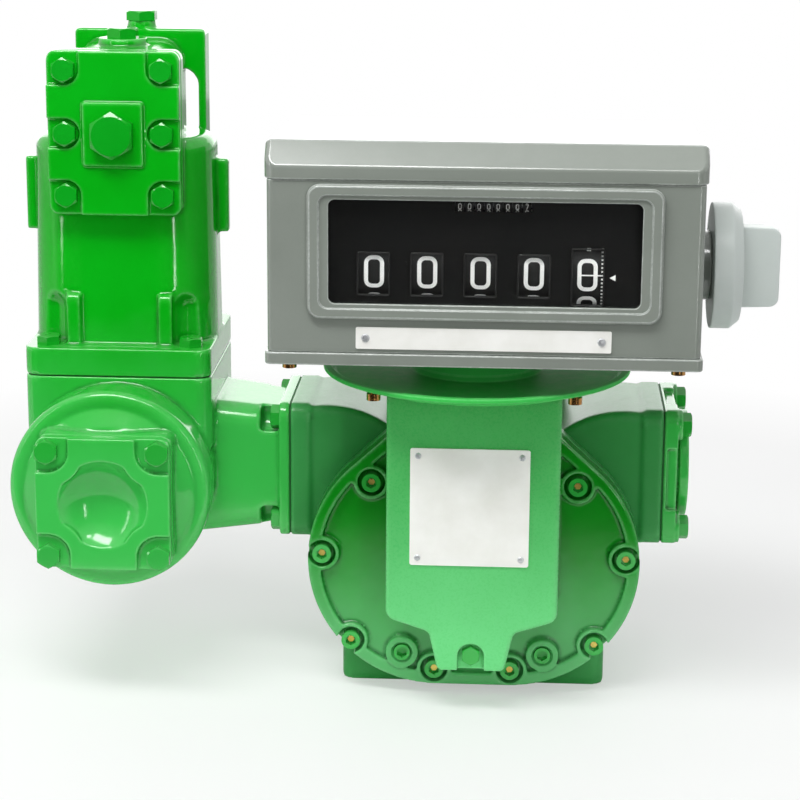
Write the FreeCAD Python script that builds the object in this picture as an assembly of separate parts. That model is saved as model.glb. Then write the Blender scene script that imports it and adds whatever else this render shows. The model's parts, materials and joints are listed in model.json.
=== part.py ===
import FreeCAD, Part
import math
import os

# Three-rotor positive-displacement flow meter with a mechanical resettable
# register, an inlet strainer with an air eliminator on it, and an outlet
# companion flange.  Millimetres, +Z up.  The origin is the centre of the
# underside of the foot; -Y is the front, the side that carries the register
# window, and liquid runs from the strainer (-X) to the outlet flange (+X).

V = FreeCAD.Vector

# ---------------------------------------------------------------- fasteners
hex_across_flats = 14.3          # 3/8 in hexagon head
hex_head_height = 6.0
hex_shank_radius = 4.7
hex_hole_clearance = 0.1
cap_head_radius = 6.2            # socket head cap screw
cap_head_height = 7.5
cap_socket_across_flats = 6.4
cap_socket_depth = 4.0
cap_shank_radius = 3.9
cap_hole_clearance = 0.1
gasket_thickness = 0.8
seat_clearance = 0.1             # parts that drop into a recess
end_gap = 0.2                    # a screw's tip to what it faces
running_clearance = 0.05         # shafts that turn in a bore

# --------------------------------------------------------------- meter body
port_height = 142.0              # port centre line above the foot
body_half_depth = 62.0
lobe_offset = 24.0               # lower corner arcs of the cover outline
lobe_height = 92.0
lobe_radius = 85.0
crown_height = 138.0             # upper arc of the cover outline
end_flange_depth = 12.0
waist_inset = 8.0
port_flange_face = 123.5
port_flange_thickness = 12.5
port_flange_size = 92.0
port_flange_corner = 9.0
port_bore_radius = 24.0
port_bolt_spacing = 70.6
port_bolt_depth = 10.0
horn_half_depth = 44.0
horn_height_above_port = 45.0
horn_arc_radius = 72.0
horn_inner_reach = 45.0
horn_edge_radius = 5.0
horn_arc_setback = 12.0          # arc centre, inside the flange
foot_half_width = 88.0
foot_half_depth = 55.0
foot_thickness = 26.0
foot_corner = 8.0
foot_hole_radius = 5.5
foot_hole_spacing_x = 152.0
foot_hole_spacing_y = 84.0
top_pad_half_width = 34.0
top_pad_front = -60.0
top_pad_rear = -8.0

# ------------------------------------------------------------------- rotors
displacement_offset = 48.0       # displacement rotors, left and right
displacement_height = 84.0
blocking_rise = 66.0             # blocking rotor above the displacement rotors
blocking_height = displacement_height + blocking_rise
rotor_bore_radius = 44.0
rotor_tip_clearance = 0.4
rotor_bore_overlap = 0.4         # the blocking bore opens into the other two
crown_wall = 11.0                # metal over the blocking bore
crown_radius = blocking_height + rotor_bore_radius + crown_wall - crown_height
rotor_front = -36.0              # chamber end faces
rotor_rear = 54.0
rotor_end_clearance = 0.3
rotor_shaft_radius = 8.0
rotor_shaft_stub = 3.0           # beyond the timing gear
rotor_hub_radius = 14.0
vane_inner_radius = 31.0
vane_web_thickness = 12.0
scoop_radius = 24.0
bearing_plate_thickness = 8.0
timing_teeth = 24
timing_addendum = 2.2
timing_dedendum = 3.4
timing_tooth_share = 0.34        # tooth width over pitch at the pitch circle
timing_gear_width = 10.0
timing_gear_front = -57.0

# -------------------------------------------------------------------- covers
cover_thickness = 16.2
cover_rim_width = 8.0
cover_dish_depth = 5.0
cover_boss_radius = 11.5
cover_counterbore_radius = 9.0
cover_counterbore_depth = 7.0
crown_screw_drop = 13.0
cover_screw_spots = [            # right-hand half of a symmetric pattern
    (99.8, 95.9),
    (80.5, 36.3),
    (25.1, 17.4),
    (67.3, 145.2),
    (25.0, crown_height + crown_radius - crown_screw_drop),
]
cover_screw_depth = 12.0
cover_screw_tip_gap = 2.0
drain_offset = 46.5
drain_height = 28.8
drain_boss_radius = 10.8
drain_boss_rise = 1.2
drain_plug_radius = 5.4
drain_plug_length = 9.0
drain_plug_sunk = 0.5
drain_recess_radius = 7.0
drain_recess_depth = 2.0
gland_radius = 12.0
gland_length = 18.0
gland_proud = 1.5
drive_shaft_radius = 4.0
drive_shaft_front = -102.0

# -------------------------------------------------- gear case and name plate
case_front = -118.0
case_half_width = 55.3
case_over_crown = 9.0
case_top = crown_height + crown_radius + case_over_crown
case_shoulder = 72.0
case_waist_height = 57.0
case_waist_half_width = 27.5
case_tongue_half_width = 21.5
case_tongue_bottom = 31.0
case_corner = 8.0
case_top_corner = 1.5
case_shoulder_slope = 6.0
case_waist_corner = 5.0
case_tongue_corner = 4.0
case_wall = 4.0
case_edge_radius = 2.5
case_bolt_height = 41.0
case_bolt_across_flats = 11.1    # 1/4 in hexagon head
case_bolt_head_height = 4.4
case_bolt_shank_radius = 3.2
case_niche_radius = 8.6
case_niche_depth = 5.5
plate_width = 76.0
plate_height = 77.5
plate_centre_x = -2.0
plate_bottom = 103.0
plate_thickness = 1.0
plate_corner = 1.5
rivet_inset = 5.0
rivet_head_radius = 2.1
rivet_shank_radius = 1.0
rivet_head_height = 1.0
vertical_shaft_y = -90.0
vertical_shaft_radius = 3.0
bevel_outer = 8.5
bevel_inner = 5.5
bevel_gap = 0.4
bevel_back = 2.0
dog_radius = 5.0                 # drive dog on the vertical shaft
dog_height = 3.0
dog_rise = 5.0                   # top of the dog over the register's base

# ------------------------------------------------------- counter adapter disc
adapter_centre_y = -55.0
adapter_radius = 100.0
adapter_edge_rise = 3.0
adapter_edge_height = 5.0
adapter_floor_rise = 1.8
adapter_edge_underside = case_top + adapter_edge_rise
adapter_edge_thickness = 2.0
adapter_rim_top = adapter_edge_underside + adapter_edge_height
adapter_rim_width = 5.0
adapter_floor = adapter_edge_underside + adapter_floor_rise
adapter_step_radius = 85.0
adapter_step_taper = 2.0
adapter_floor_chamfer = 3.0
adapter_hub_radius = 40.0
brass_head_radius = 4.4
brass_head_height = 4.2
brass_shank_radius = 2.0
brass_shank_length = 5.0
brass_slot_half_width = 0.6
brass_slot_depth = 1.2
adapter_screw_short = 3.4        # shank tip below the rim's top
adapter_screw_offset_x = 63.0
adapter_screw_offset_y = 70.0

# ------------------------------------------------------------------ register
register_centre_x = 5.6
register_width = 268.0
register_front = -152.0
register_depth = 160.0
register_lift = 19.2             # over the adapter's rim
register_bottom = adapter_rim_top + register_lift
register_base_thickness = 7.8
register_body_height = 114.8
register_height = 137.3
register_lid_bottom = register_bottom + register_body_height
register_lid_lip = 8.0
register_lid_fall = 6.5          # the top falls to the rear
register_lid_corner = 8.0
register_lid_round = 4.0
register_top = register_bottom + register_height
register_lid_setback = 12.0
register_case_inset = 1.5
register_wall = 4.0
register_corner = 4.0
base_screw_inset_x = 14.2
base_screw_inset_y = 12.0
bezel_width = 215.5
bezel_height = 83.0
bezel_rise = 29.6
bezel_bottom = register_bottom + bezel_rise
bezel_proud = 4.5
bezel_corner = 8.0
bezel_chamfer = 1.4
bezel_step = 6.0
bezel_step_depth = 1.8
window_width = 189.5
window_height = 64.0
window_corner = 4.0
glass_overlap = 2.5
glass_thickness = 3.0
glass_clearance = 0.2
dial_gap = 3.6
dial_thickness = 1.5
dial_margin = 5.0
wheel_count = 5
wheel_pitch = 32.55
wheel_row_offset = -2.5          # middle wheel from the register's centre
wheel_rise = 56.8
wheel_height = register_bottom + wheel_rise
wheel_radius = 38.0
wheel_width = 22.0
wheel_rim_thickness = 2.5
wheel_web_thickness = 4.0
wheel_hub_radius = 8.0
wheel_gap = 1.5
wheel_shaft_radius = 3.0
wheel_hole_width = 19.3
wheel_hole_height = 26.4
units_hole_height = 35.0
total_count = 8
total_pitch = 5.8
total_width = 5.0
total_radius = 6.0
total_rise = 41.4                # above the number wheels' axis
total_height = wheel_height + total_rise
total_slot_height = 5.6
total_row_offset = 4.75
total_shaft_radius = 1.5
total_gap = 1.2
total_ear_thickness = 2.0
total_ear_depth = 3.0            # beyond the shaft's axis
total_ear_half_height = 3.5
frame_upright_offset = 104.0
frame_upright_thickness = 3.0
frame_upright_half_depth = 16.0
knob_y = -75.0
knob_rise = 51.8
knob_height = register_bottom + knob_rise
knob_radius = 40.0
knob_disc_start = 9.0            # from the case side
knob_disc_thickness = 18.5
knob_disc_bevel_depth = 6.0
knob_disc_bevel = 5.0
knob_grip_length = 25.0
knob_grip_half_height = 26.0
knob_grip_half_thickness = 7.0
knob_grip_root = 4.0
knob_grip_draft = 1.0
knob_grip_corner = 6.0
knob_shaft_radius = 5.0
knob_shaft_inside = 14.0
knob_boss_radius = 22.0
knob_boss_gap = 0.4
strip_width = 156.0
strip_height = 13.5
strip_rise = 10.8
strip_bottom = register_bottom + strip_rise
strip_thickness = 1.0
strip_screw_inset = 6.0
strip_screw_radius = 2.6

# ------------------------------------------------------------------ strainer
strainer_x = -236.2
drum_radius = 65.7
drum_front = -99.0
drum_rim_depth = 24.0
drum_step = 3.5
drum_rear = 62.0
drum_wall = 8.0
drum_edge_radius = 5.0
neck_drum_half_height = 50.0
neck_drum_half_depth = 46.0
neck_flange_half_height = 40.0
neck_flange_half_depth = 40.0
neck_corner = 14.0
neck_root = 20.0                 # from the drum's axis
neck_pocket_radius = 10.0        # room round the joint bolts' heads
neck_pocket_depth = 13.0
strainer_flange_thickness = 7.0
neck_bore_radius = 26.0
mouth_size = 86.5
mouth_corner = 7.0
mouth_flange_front = -114.0
mouth_flange_thickness = 8.0
mouth_cone_radius = 40.0
mouth_bore_radius = 30.0
cover_plate_front = -125.0
cover_pad_rise = 3.2
cover_bolt_spacing_x = 71.0
cover_bolt_spacing_z = 69.3
cover_pocket_radius = 14.0
cover_dish_radius = 29.0
cover_dish_hollow = 14.0
cover_dish_wall = 4.0
cover_bolt_boss_radius = 23.5
cover_drop = 2.0
cover_centre_z = port_height - cover_drop
strainer_shank_length = 17.0
inlet_boss_radius = 42.0
inlet_boss_length = 20.0
pipe_thread_radius = 29.3        # 2 in taper pipe thread, mean
inlet_thread_length = 25.0
basket_radius = 46.0
basket_wall = 1.5
basket_ring_depth = 4.0
basket_rear = 50.0
saddle_half_width = 61.5
saddle_half_depth = 60.0
saddle_corner = 9.0
saddle_rise = 66.0               # over the port's centre line
saddle_height = 48.0
saddle_top = port_height + saddle_rise
saddle_bottom = saddle_top - saddle_height
saddle_opening_half_width = 38.0
saddle_opening_half_depth = 30.0
saddle_opening_corner = 20.0

# ------------------------------------------------------------ air eliminator
air_flange_thickness = 18.0
air_rise = 154.0                 # chamber top over the saddle
air_top = saddle_top + air_rise
air_bottom_half_width = 61.0
air_bottom_half_depth = 44.0
air_top_half_width = 59.5
air_top_half_depth = 39.0
air_corner = 35.0
air_shoulder_radius = 9.0
air_wall = 7.0
air_bolt_spacing_x = 94.6
air_bolt_spacing_y = 90.0
air_pocket_radius = 12.5
air_pocket_height = 24.0
air_shank_length = 30.0
pilaster_offset = 30.5
pilaster_width = 9.0
pilaster_rise = 3.0
pilaster_height = 34.0
pilaster_root = 4.0
pilaster_round = 4.0
air_throat_rise = 6.0            # opening's top over the pilasters
lug_drop = 17.0
lug_top = air_top - lug_drop
lug_height = 49.0
lug_reach = 68.0
lug_thickness = 9.0
lug_root = 6.0
head_half_width = 33.0
head_rise = 58.0
head_height = 90.0
head_top = air_top + head_rise
head_bottom = head_top - head_height
head_corner = 14.0
head_flange_front = -43.2
head_flange_thickness = 12.0
head_flange_width = 86.0
head_flange_lip = 0.5
head_flange_top = head_top + head_flange_lip
head_flange_height = 106.0
head_flange_corner = 6.0
valve_cover_thickness = 10.0
valve_pad_rise = 3.0
valve_pocket_radius = 9.6
valve_bolt_offset = 31.5
head_neck_radius = 37.0
head_neck_drop = 8.0
valve_bolt_drops = (93.0, 53.0, 12.0)
valve_bolt_rows = tuple(head_flange_top - drop for drop in valve_bolt_drops)
valve_shank_length = 18.0
plug_pad_half = 19.5
plug_pad_rise = 2.5
plug_pad_corner = 1.5
plug_hole_depth = 14.0
plug_across_flats = 27.0
plug_height = 8.0
plug_shank_radius = 10.0
plug_shank_length = 12.0
arch_offset = 5.0                # to the right of the drum's centre line
arch_half_width = 44.0
arch_rise = 7.0
arch_top = head_top + arch_rise
arch_front = 30.0
arch_depth = 20.0
arch_leg = 5.0
arch_bar = 26.0
arch_corner = 3.0
arch_inner_corner = 12.0
vent_boss_radius = 16.0
vent_boss_rise = 5.0
vent_across_flats = 19.0
vent_plug_height = 6.5
vent_shank_radius = 7.0
vent_shank_length = 7.0
vent_rear_boss_radius = 9.5
vent_spots = ((0.0, -8.0, head_top), (arch_offset, arch_front + arch_depth / 2, arch_top))
float_radius = 24.0
float_height = 42.0
float_corner = 4.0
float_drop = 86.0
float_bottom = air_top - float_drop
guide_radius = 3.0
guide_collar_radius = 7.0
guide_collar_height = 3.0

# -------------------------------------------------------------- outlet flange
outlet_thickness = 9.0
outlet_boss_rise = 3.0
outlet_boss_radius = 10.5
outlet_recess_depth = 3.0
outlet_recess_half_height = 21.0
outlet_groove_radius = 33.0
outlet_hub_radius = 36.5
outlet_hub_length = 17.3
outlet_hub_rim = 6.0

# ============================================================ basic geometry
AXES = {"x": V(1, 0, 0), "y": V(0, 1, 0), "z": V(0, 0, 1)}


def place(axis, u, v, w):
    """Point with w along the axis; u and v are the other two, in x, y, z order."""
    if axis == "x":
        return V(w, u, v)
    if axis == "y":
        return V(u, w, v)
    return V(u, v, w)


def block(x0, x1, y0, y1, z0, z1):
    return Part.makeBox(x1 - x0, y1 - y0, z1 - z0, V(x0, y0, z0))


def rod(axis, radius, u, v, w0, w1):
    """Cylinder along an axis between two positions."""
    low, high = min(w0, w1), max(w0, w1)
    return Part.makeCylinder(radius, high - low, place(axis, u, v, low), AXES[axis])


def corner_wire(axis, w, corners, radius):
    """Closed wire through corners, each rounded by an arc of the radius given."""
    count = len(corners)
    starts, mids, ends = [], [], []
    for i in range(count):
        before = corners[i - 1]
        here = corners[i]
        after = corners[(i + 1) % count]
        r = here[2] if len(here) > 2 else radius
        a = V(before[0] - here[0], before[1] - here[1], 0).normalize()
        b = V(after[0] - here[0], after[1] - here[1], 0).normalize()
        half = math.acos(max(-1.0, min(1.0, a.dot(b)))) / 2
        centre = V(here[0], here[1], 0)
        if r <= 0:
            starts.append(centre)
            mids.append(None)
            ends.append(centre)
            continue
        reach = r / math.tan(half)
        middle = (a + b).normalize() * (r / math.sin(half) - r)
        starts.append(centre + a * reach)
        mids.append(centre + middle)
        ends.append(centre + b * reach)
    edges = []
    for i in range(count):
        nxt = (i + 1) % count
        if mids[i] is not None:
            arc_points = [place(axis, p.x, p.y, w) for p in (starts[i], mids[i], ends[i])]
            edges.append(Part.Arc(*arc_points).toShape())
        if (ends[i] - starts[nxt]).Length > 1e-6:
            first = place(axis, ends[i].x, ends[i].y, w)
            last = place(axis, starts[nxt].x, starts[nxt].y, w)
            edges.append(Part.LineSegment(first, last).toShape())
    return Part.Wire(edges)


def prism(axis, w0, w1, corners, radius=0.0):
    wire = corner_wire(axis, w0, corners, radius)
    return Part.Face(wire).extrude(AXES[axis] * (w1 - w0))


def rectangle(u0, u1, v0, v1):
    return [(u0, v0), (u1, v0), (u1, v1), (u0, v1)]


def slab(axis, w0, w1, u, v, half_u, half_v, radius):
    """Rounded rectangular plate centred at u, v."""
    return prism(axis, w0, w1, rectangle(u - half_u, u + half_u, v - half_v, v + half_v), radius)


def hull_wire(circles, y):
    """Outline in XZ wrapped round circles (x, z, r) listed counter-clockwise."""
    count = len(circles)
    normals = []
    for i in range(count):
        x0, z0, r0 = circles[i]
        x1, z1, r1 = circles[(i + 1) % count]
        heading = math.atan2(z1 - z0, x1 - x0)
        normals.append(heading - math.acos((r0 - r1) / math.hypot(x1 - x0, z1 - z0)))

    def on(circle, angle):
        x, z, r = circle
        return V(x + r * math.cos(angle), y, z + r * math.sin(angle))

    edges = []
    for i in range(count):
        start = normals[i - 1]
        end = normals[i]
        while end < start:
            end += 2 * math.pi
        circle = circles[i]
        edges.append(Part.Arc(on(circle, start), on(circle, (start + end) / 2), on(circle, end)).toShape())
        edges.append(Part.LineSegment(on(circle, end), on(circles[(i + 1) % count], end)).toShape())
    return Part.Wire(edges)


def hull_prism(circles, y0, y1):
    return Part.Face(hull_wire(circles, y0)).extrude(V(0, y1 - y0, 0))


def turned(profile, centre, axis):
    """Solid of revolution of (radius, height) points round an axis at a centre."""
    if axis == "z":
        points = [V(r, 0, h) for r, h in profile]
        spin = V(0, 0, 1)
    elif axis == "y":
        points = [V(r, h, 0) for r, h in profile]
        spin = V(0, 1, 0)
    else:
        points = [V(h, r, 0) for r, h in profile]
        spin = V(1, 0, 0)
    points.append(points[0])
    face = Part.Face(Part.makePolygon(points))
    solid = face.revolve(V(0, 0, 0), spin, 360)
    solid.translate(centre)
    return solid


def fused(shapes):
    whole = shapes[0].multiFuse(shapes[1:]) if len(shapes) > 1 else shapes[0]
    return whole.removeSplitter()


def cut_all(shape, tools):
    return shape.cut(tools) if tools else shape


def rounded(shape, radius, wanted):
    """Fillet the edges whose middle point passes the test."""
    edges = []
    for edge in shape.Edges:
        middle = edge.valueAt((edge.FirstParameter + edge.LastParameter) / 2)
        if wanted(middle, edge):
            edges.append(edge)
    return shape.makeFillet(radius, edges)


def hexagon(axis, w0, w1, u, v, across_flats):
    radius = across_flats / math.sqrt(3)
    corners = []
    for i in range(6):
        angle = math.radians(60 * i + 30)
        corners.append((u + radius * math.cos(angle), v + radius * math.sin(angle)))
    return prism(axis, w0, w1, corners)


def hex_screw(axis, u, v, seat, out, across_flats, head, shank_radius, shank_length):
    """Hexagon screw; 'out' is +1 or -1, the way the head points along the axis."""
    tip = seat + out * head
    chamfer = across_flats * 0.09
    body = hexagon(axis, min(seat, tip), max(seat, tip), u, v, across_flats)
    corner_radius = across_flats / math.sqrt(3)
    bevel = turned(
        [
            (0, 0),
            (corner_radius + 1, 0),
            (corner_radius + 1, head - chamfer - chamfer * 2 / across_flats),
            (across_flats * 0.47, head),
            (0, head),
        ],
        V(0, 0, 0),
        "z",
    )
    direction = AXES[axis] * out
    bevel.Placement = FreeCAD.Placement(place(axis, u, v, seat), FreeCAD.Rotation(V(0, 0, 1), direction))
    shank = rod(axis, shank_radius, u, v, seat - out * shank_length, seat + out * 1.0)
    return fused([body.common(bevel), shank])


def cap_screw(u, v, seat, out):
    """Socket head cap screw along Y with its head on the seat."""
    tip = seat + out * cap_head_height
    head = rod("y", cap_head_radius, u, v, seat, tip)
    shank = rod("y", cap_shank_radius, u, v, seat - out * cap_shank_length(), seat + out)
    socket = hexagon("y", min(tip - out * cap_socket_depth, tip + out),
                     max(tip - out * cap_socket_depth, tip + out),
                     u, v, cap_socket_across_flats)
    return fused([head, shank]).cut(socket)


def cap_shank_length():
    under_head = cover_thickness - cover_counterbore_depth
    return under_head + gasket_thickness + cover_screw_depth - cover_screw_tip_gap


def both_sides(spots):
    mirrored = [(-x, z) for x, z in spots]
    return spots + mirrored


def grid(centre_u, centre_v, spacing_u, spacing_v):
    """The four corners of a bolt rectangle."""
    spots = []
    for sign_u in (-1, 1):
        for sign_v in (-1, 1):
            spots.append((centre_u + sign_u * spacing_u / 2, centre_v + sign_v * spacing_v / 2))
    return spots


# ======================================================== shared meter layout
cover_inner = body_half_depth + gasket_thickness
cover_outer = cover_inner + cover_thickness
rotor_spots = {
    "blocking": (0.0, blocking_height),
    "left": (-displacement_offset, displacement_height),
    "right": (displacement_offset, displacement_height),
}
rotor_distance = math.hypot(displacement_offset, blocking_height - displacement_height)
blocking_bore_radius = rotor_distance - rotor_bore_radius + rotor_bore_overlap
hex_hole_radius = hex_shank_radius + hex_hole_clearance
cap_hole_radius = cap_shank_radius + cap_hole_clearance
port_spots = grid(0, port_height, port_bolt_spacing, port_bolt_spacing)


def body_circles(inset):
    return [
        (-lobe_offset, lobe_height, lobe_radius - inset),
        (lobe_offset, lobe_height, lobe_radius - inset),
        (0.0, crown_height, crown_radius - inset),
    ]


def chamber_circles(inset):
    radius = rotor_bore_radius - inset
    left = rotor_spots["left"]
    right = rotor_spots["right"]
    top = rotor_spots["blocking"]
    return [(left[0], left[1], radius), (right[0], right[1], radius), (top[0], top[1], radius)]


def meter_housing():
    """Cast body: waist with two end flanges, two port horns, foot, rotor bores."""
    depth = body_half_depth
    waist = hull_prism(body_circles(waist_inset), -depth, depth)
    front_flange = hull_prism(body_circles(0), -depth, -depth + end_flange_depth)
    rear_flange = hull_prism(body_circles(0), depth - end_flange_depth, depth)
    solids = [waist, front_flange, rear_flange]
    inner_face = port_flange_face - port_flange_thickness
    horn_top = port_height + horn_height_above_port
    horn_centre = inner_face - horn_arc_setback
    for side in (-1, 1):
        near, far = sorted((side * horn_inner_reach, side * (inner_face + 1)))
        horn = block(near, far, -horn_half_depth, horn_half_depth, port_height - horn_height_above_port,
                     horn_top)
        arc = rod("y", horn_arc_radius, side * horn_centre, horn_top - horn_arc_radius,
                  -horn_half_depth - 1, horn_half_depth + 1)
        horn = horn.common(arc)
        horn = rounded(horn, horn_edge_radius, lambda p,
                       e: p.z > port_height and abs(abs(p.y) - horn_half_depth) < 0.1
                       and abs(p.x) < inner_face)
        near, far = sorted((side * inner_face, side * port_flange_face))
        flange = slab("x", near, far, 0, port_height, port_flange_size / 2, port_flange_size / 2,
                      port_flange_corner)
        solids += [horn, flange]
    solids.append(slab("z", 0, foot_thickness, 0, 0, foot_half_width, foot_half_depth, foot_corner))
    pad_bottom = crown_height
    solids.append(block(-top_pad_half_width, top_pad_half_width, top_pad_front, top_pad_rear, pad_bottom,
                        case_top))
    housing = fused(solids)

    cuts = []
    for name in ("left", "right"):
        x, z = rotor_spots[name]
        cuts.append(rod("y", rotor_bore_radius, x, z, rotor_front, rotor_rear))
    cuts.append(rod("y", blocking_bore_radius, 0, blocking_height, rotor_front, rotor_rear))
    cuts.append(hull_prism(chamber_circles(0), -depth - 1, rotor_front))
    cuts.append(hull_prism(chamber_circles(0), rotor_rear, depth + 1))
    cuts.append(rod("x", port_bore_radius, 0, port_height, -port_flange_face - 1, port_flange_face + 1))
    for y, z in port_spots:
        for side in (-1, 1):
            cuts.append(rod("x", hex_hole_radius, y, z, side * (port_flange_face - port_bolt_depth),
                            side * (port_flange_face + 1)))
    for x, z in both_sides(cover_screw_spots):
        for side in (-1, 1):
            cuts.append(rod("y", cap_hole_radius, x, z, side * (depth - cover_screw_depth),
                            side * (depth + 1)))
    for x, y in grid(0, 0, foot_hole_spacing_x, foot_hole_spacing_y):
        cuts.append(rod("z", foot_hole_radius, x, y, -1, foot_thickness + 1))
    return cut_all(housing, cuts)


def end_cover(front):
    """Cover plate: raised rim round a dished face, counterbored screw bosses."""
    sign = -1 if front else 1
    inner = sign * cover_inner
    outer = sign * cover_outer
    floor = outer - sign * cover_dish_depth
    plate = hull_prism(body_circles(0), min(inner, outer), max(inner, outer))
    dish = hull_prism(body_circles(cover_rim_width), min(floor, outer + sign), max(floor, outer + sign))
    plate = plate.cut(dish)
    outline = hull_prism(body_circles(0), min(inner, outer), max(inner, outer))
    bosses = []
    for x, z in both_sides(cover_screw_spots):
        bosses.append(rod("y", cover_boss_radius, x, z, inner, outer))
    if front:
        pad = Part.Face(gear_case_wire(inner)).extrude(V(0, outer - inner, 0))
        bosses.append(pad)
    plate = fused([plate] + [boss.common(outline) for boss in bosses])
    if front:
        drains = []
        for side in (-1, 1):
            drains.append(rod("y", drain_boss_radius, side * drain_offset, drain_height, inner,
                              outer - drain_boss_rise))
        plate = fused([plate] + drains)

    cuts = []
    seat = outer - sign * cover_counterbore_depth
    for x, z in both_sides(cover_screw_spots):
        cuts.append(rod("y", cover_counterbore_radius, x, z, seat, outer + sign))
        cuts.append(rod("y", cap_hole_radius, x, z, inner - sign, outer))
    if front:
        for side in (-1, 1):
            mouth = outer - drain_boss_rise
            cuts.append(rod("y", drain_recess_radius, side * drain_offset, drain_height,
                            mouth - 1, mouth + drain_recess_depth))
            cuts.append(rod("y", drain_plug_radius + seat_clearance, side * drain_offset, drain_height,
                            mouth, mouth + drain_plug_length + drain_recess_depth))
        cuts.append(rod("y", gland_radius + seat_clearance, 0, blocking_height, inner + 1, outer - 1))
    return cut_all(plate, cuts)


def drain_plugs():
    mouth = -cover_outer - drain_boss_rise
    plugs = []
    for side in (-1, 1):
        front = mouth + drain_plug_sunk
        plug = rod("y", drain_plug_radius, side * drain_offset, drain_height, front,
                   front + drain_plug_length)
        socket = hexagon("y", front - 1, front + cap_socket_depth, side * drain_offset, drain_height,
                         cap_socket_across_flats)
        plugs.append(plug.cut(socket))
    return Part.makeCompound(plugs)


def cover_screws():
    screws = []
    for sign in (-1, 1):
        seat = sign * (cover_outer - cover_counterbore_depth)
        for x, z in both_sides(cover_screw_spots):
            screws.append(cap_screw(x, z, seat, sign))
    return Part.makeCompound(screws)


def bearing_plates():
    """End plates of the rotor chamber, with a bearing bore for each shaft."""
    plates = []
    for low, high in (
        (rotor_front - bearing_plate_thickness, rotor_front),
        (rotor_rear, rotor_rear + bearing_plate_thickness),
    ):
        plate = hull_prism(chamber_circles(seat_clearance), low, high)
        holes = []
        for x, z in rotor_spots.values():
            holes.append(rod("y", rotor_shaft_radius + running_clearance, x, z, low - 1, high + 1))
        plates.append(cut_all(plate, holes))
    return Part.makeCompound(plates)


def displacement_rotor(name):
    """Hub and shaft with a half-round vane carried on a web."""
    x, z = rotor_spots[name]
    low = rotor_front + rotor_end_clearance
    high = rotor_rear - rotor_end_clearance
    tip = rotor_bore_radius - rotor_tip_clearance
    vane = rod("y", tip, x, z, low, high).cut(rod("y", vane_inner_radius, x, z, low - 1, high + 1))
    vane = vane.cut(block(x - tip - 1, x + tip + 1, low - 1, high + 1, z, z + tip + 1))
    web = block(x - vane_web_thickness / 2, x + vane_web_thickness / 2, low, high,
                z - vane_inner_radius - 1, z)
    hub = rod("y", rotor_hub_radius, x, z, low, high)
    shaft_front = timing_gear_front - rotor_shaft_stub
    shaft = rod("y", rotor_shaft_radius, x, z, shaft_front, rotor_rear + bearing_plate_thickness - 1)
    return fused([vane, web, hub, shaft])


def blocking_rotor():
    """Round rotor with two scoops, on a shaft that leaves through the gland."""
    low = rotor_front + rotor_end_clearance
    high = rotor_rear - rotor_end_clearance
    z = blocking_height
    tip = blocking_bore_radius - rotor_tip_clearance
    body = rod("y", tip, 0, z, low, high)
    scoops = []
    for side in (-1, 1):
        scoops.append(rod("y", scoop_radius, side * tip, z, low - 1, high + 1))
    body = cut_all(body, scoops)
    shaft_front = timing_gear_front - rotor_shaft_stub
    shaft = rod("y", rotor_shaft_radius, 0, z, shaft_front, rotor_rear + bearing_plate_thickness - 1)
    drive = rod("y", drive_shaft_radius, 0, z, drive_shaft_front, shaft_front + 1)
    return fused([body, shaft, drive])


def timing_gear(name):
    """Spur gear; the three gears of equal size keep the rotors in step."""
    x, z = rotor_spots[name]
    pitch_radius = rotor_distance / 2
    pitch_angle = 2 * math.pi / timing_teeth
    right_angle = math.atan2(displacement_height - blocking_height, displacement_offset)
    phase = right_angle
    if name != "blocking":
        line = right_angle if name == "right" else math.pi - right_angle
        phase = 2 * line + math.pi - right_angle + pitch_angle / 2
    root = pitch_radius - timing_dedendum
    tip = pitch_radius + timing_addendum
    half_root = pitch_angle * (timing_tooth_share / 2 + 0.09)
    half_tip = pitch_angle * (timing_tooth_share / 2 - 0.07)
    corners = []
    for i in range(timing_teeth):
        centre = phase + i * pitch_angle
        for radius, offset in ((root, -half_root), (tip, -half_tip), (tip, half_tip), (root, half_root)):
            corners.append((x + radius * math.cos(centre + offset), z + radius * math.sin(centre + offset)))
    front = timing_gear_front
    gear = prism("y", front, front + timing_gear_width, corners)
    return gear.cut(rod("y", rotor_shaft_radius, x, z, front - 1, front + timing_gear_width + 1))


def packing_gland():
    front = -cover_outer - gland_proud
    gland = rod("y", gland_radius, 0, blocking_height, front, front + gland_length - gasket_thickness)
    bore = rod("y", drive_shaft_radius + running_clearance, 0, blocking_height, front - 1,
               front + gland_length + 1)
    relief = rod("y", rotor_shaft_radius + 1, 0, blocking_height, -cover_inner - 1, -cover_inner + 1)
    return gland.cut(bore).cut(relief)


# ------------------------------------------------------- gear case and drive
def gear_case_wire(y):
    """Shield-shaped outline with a tongue at the bottom."""
    half = [
        (case_half_width, case_top, case_top_corner),
        (case_half_width, case_shoulder - case_shoulder_slope, case_corner),
        (case_waist_half_width, case_waist_height, case_waist_corner),
        (case_tongue_half_width, case_tongue_bottom, case_tongue_corner),
    ]
    left = [(-x, z, r) for x, z, r in reversed(half)]
    return corner_wire("y", y, half + left, 0)


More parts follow.
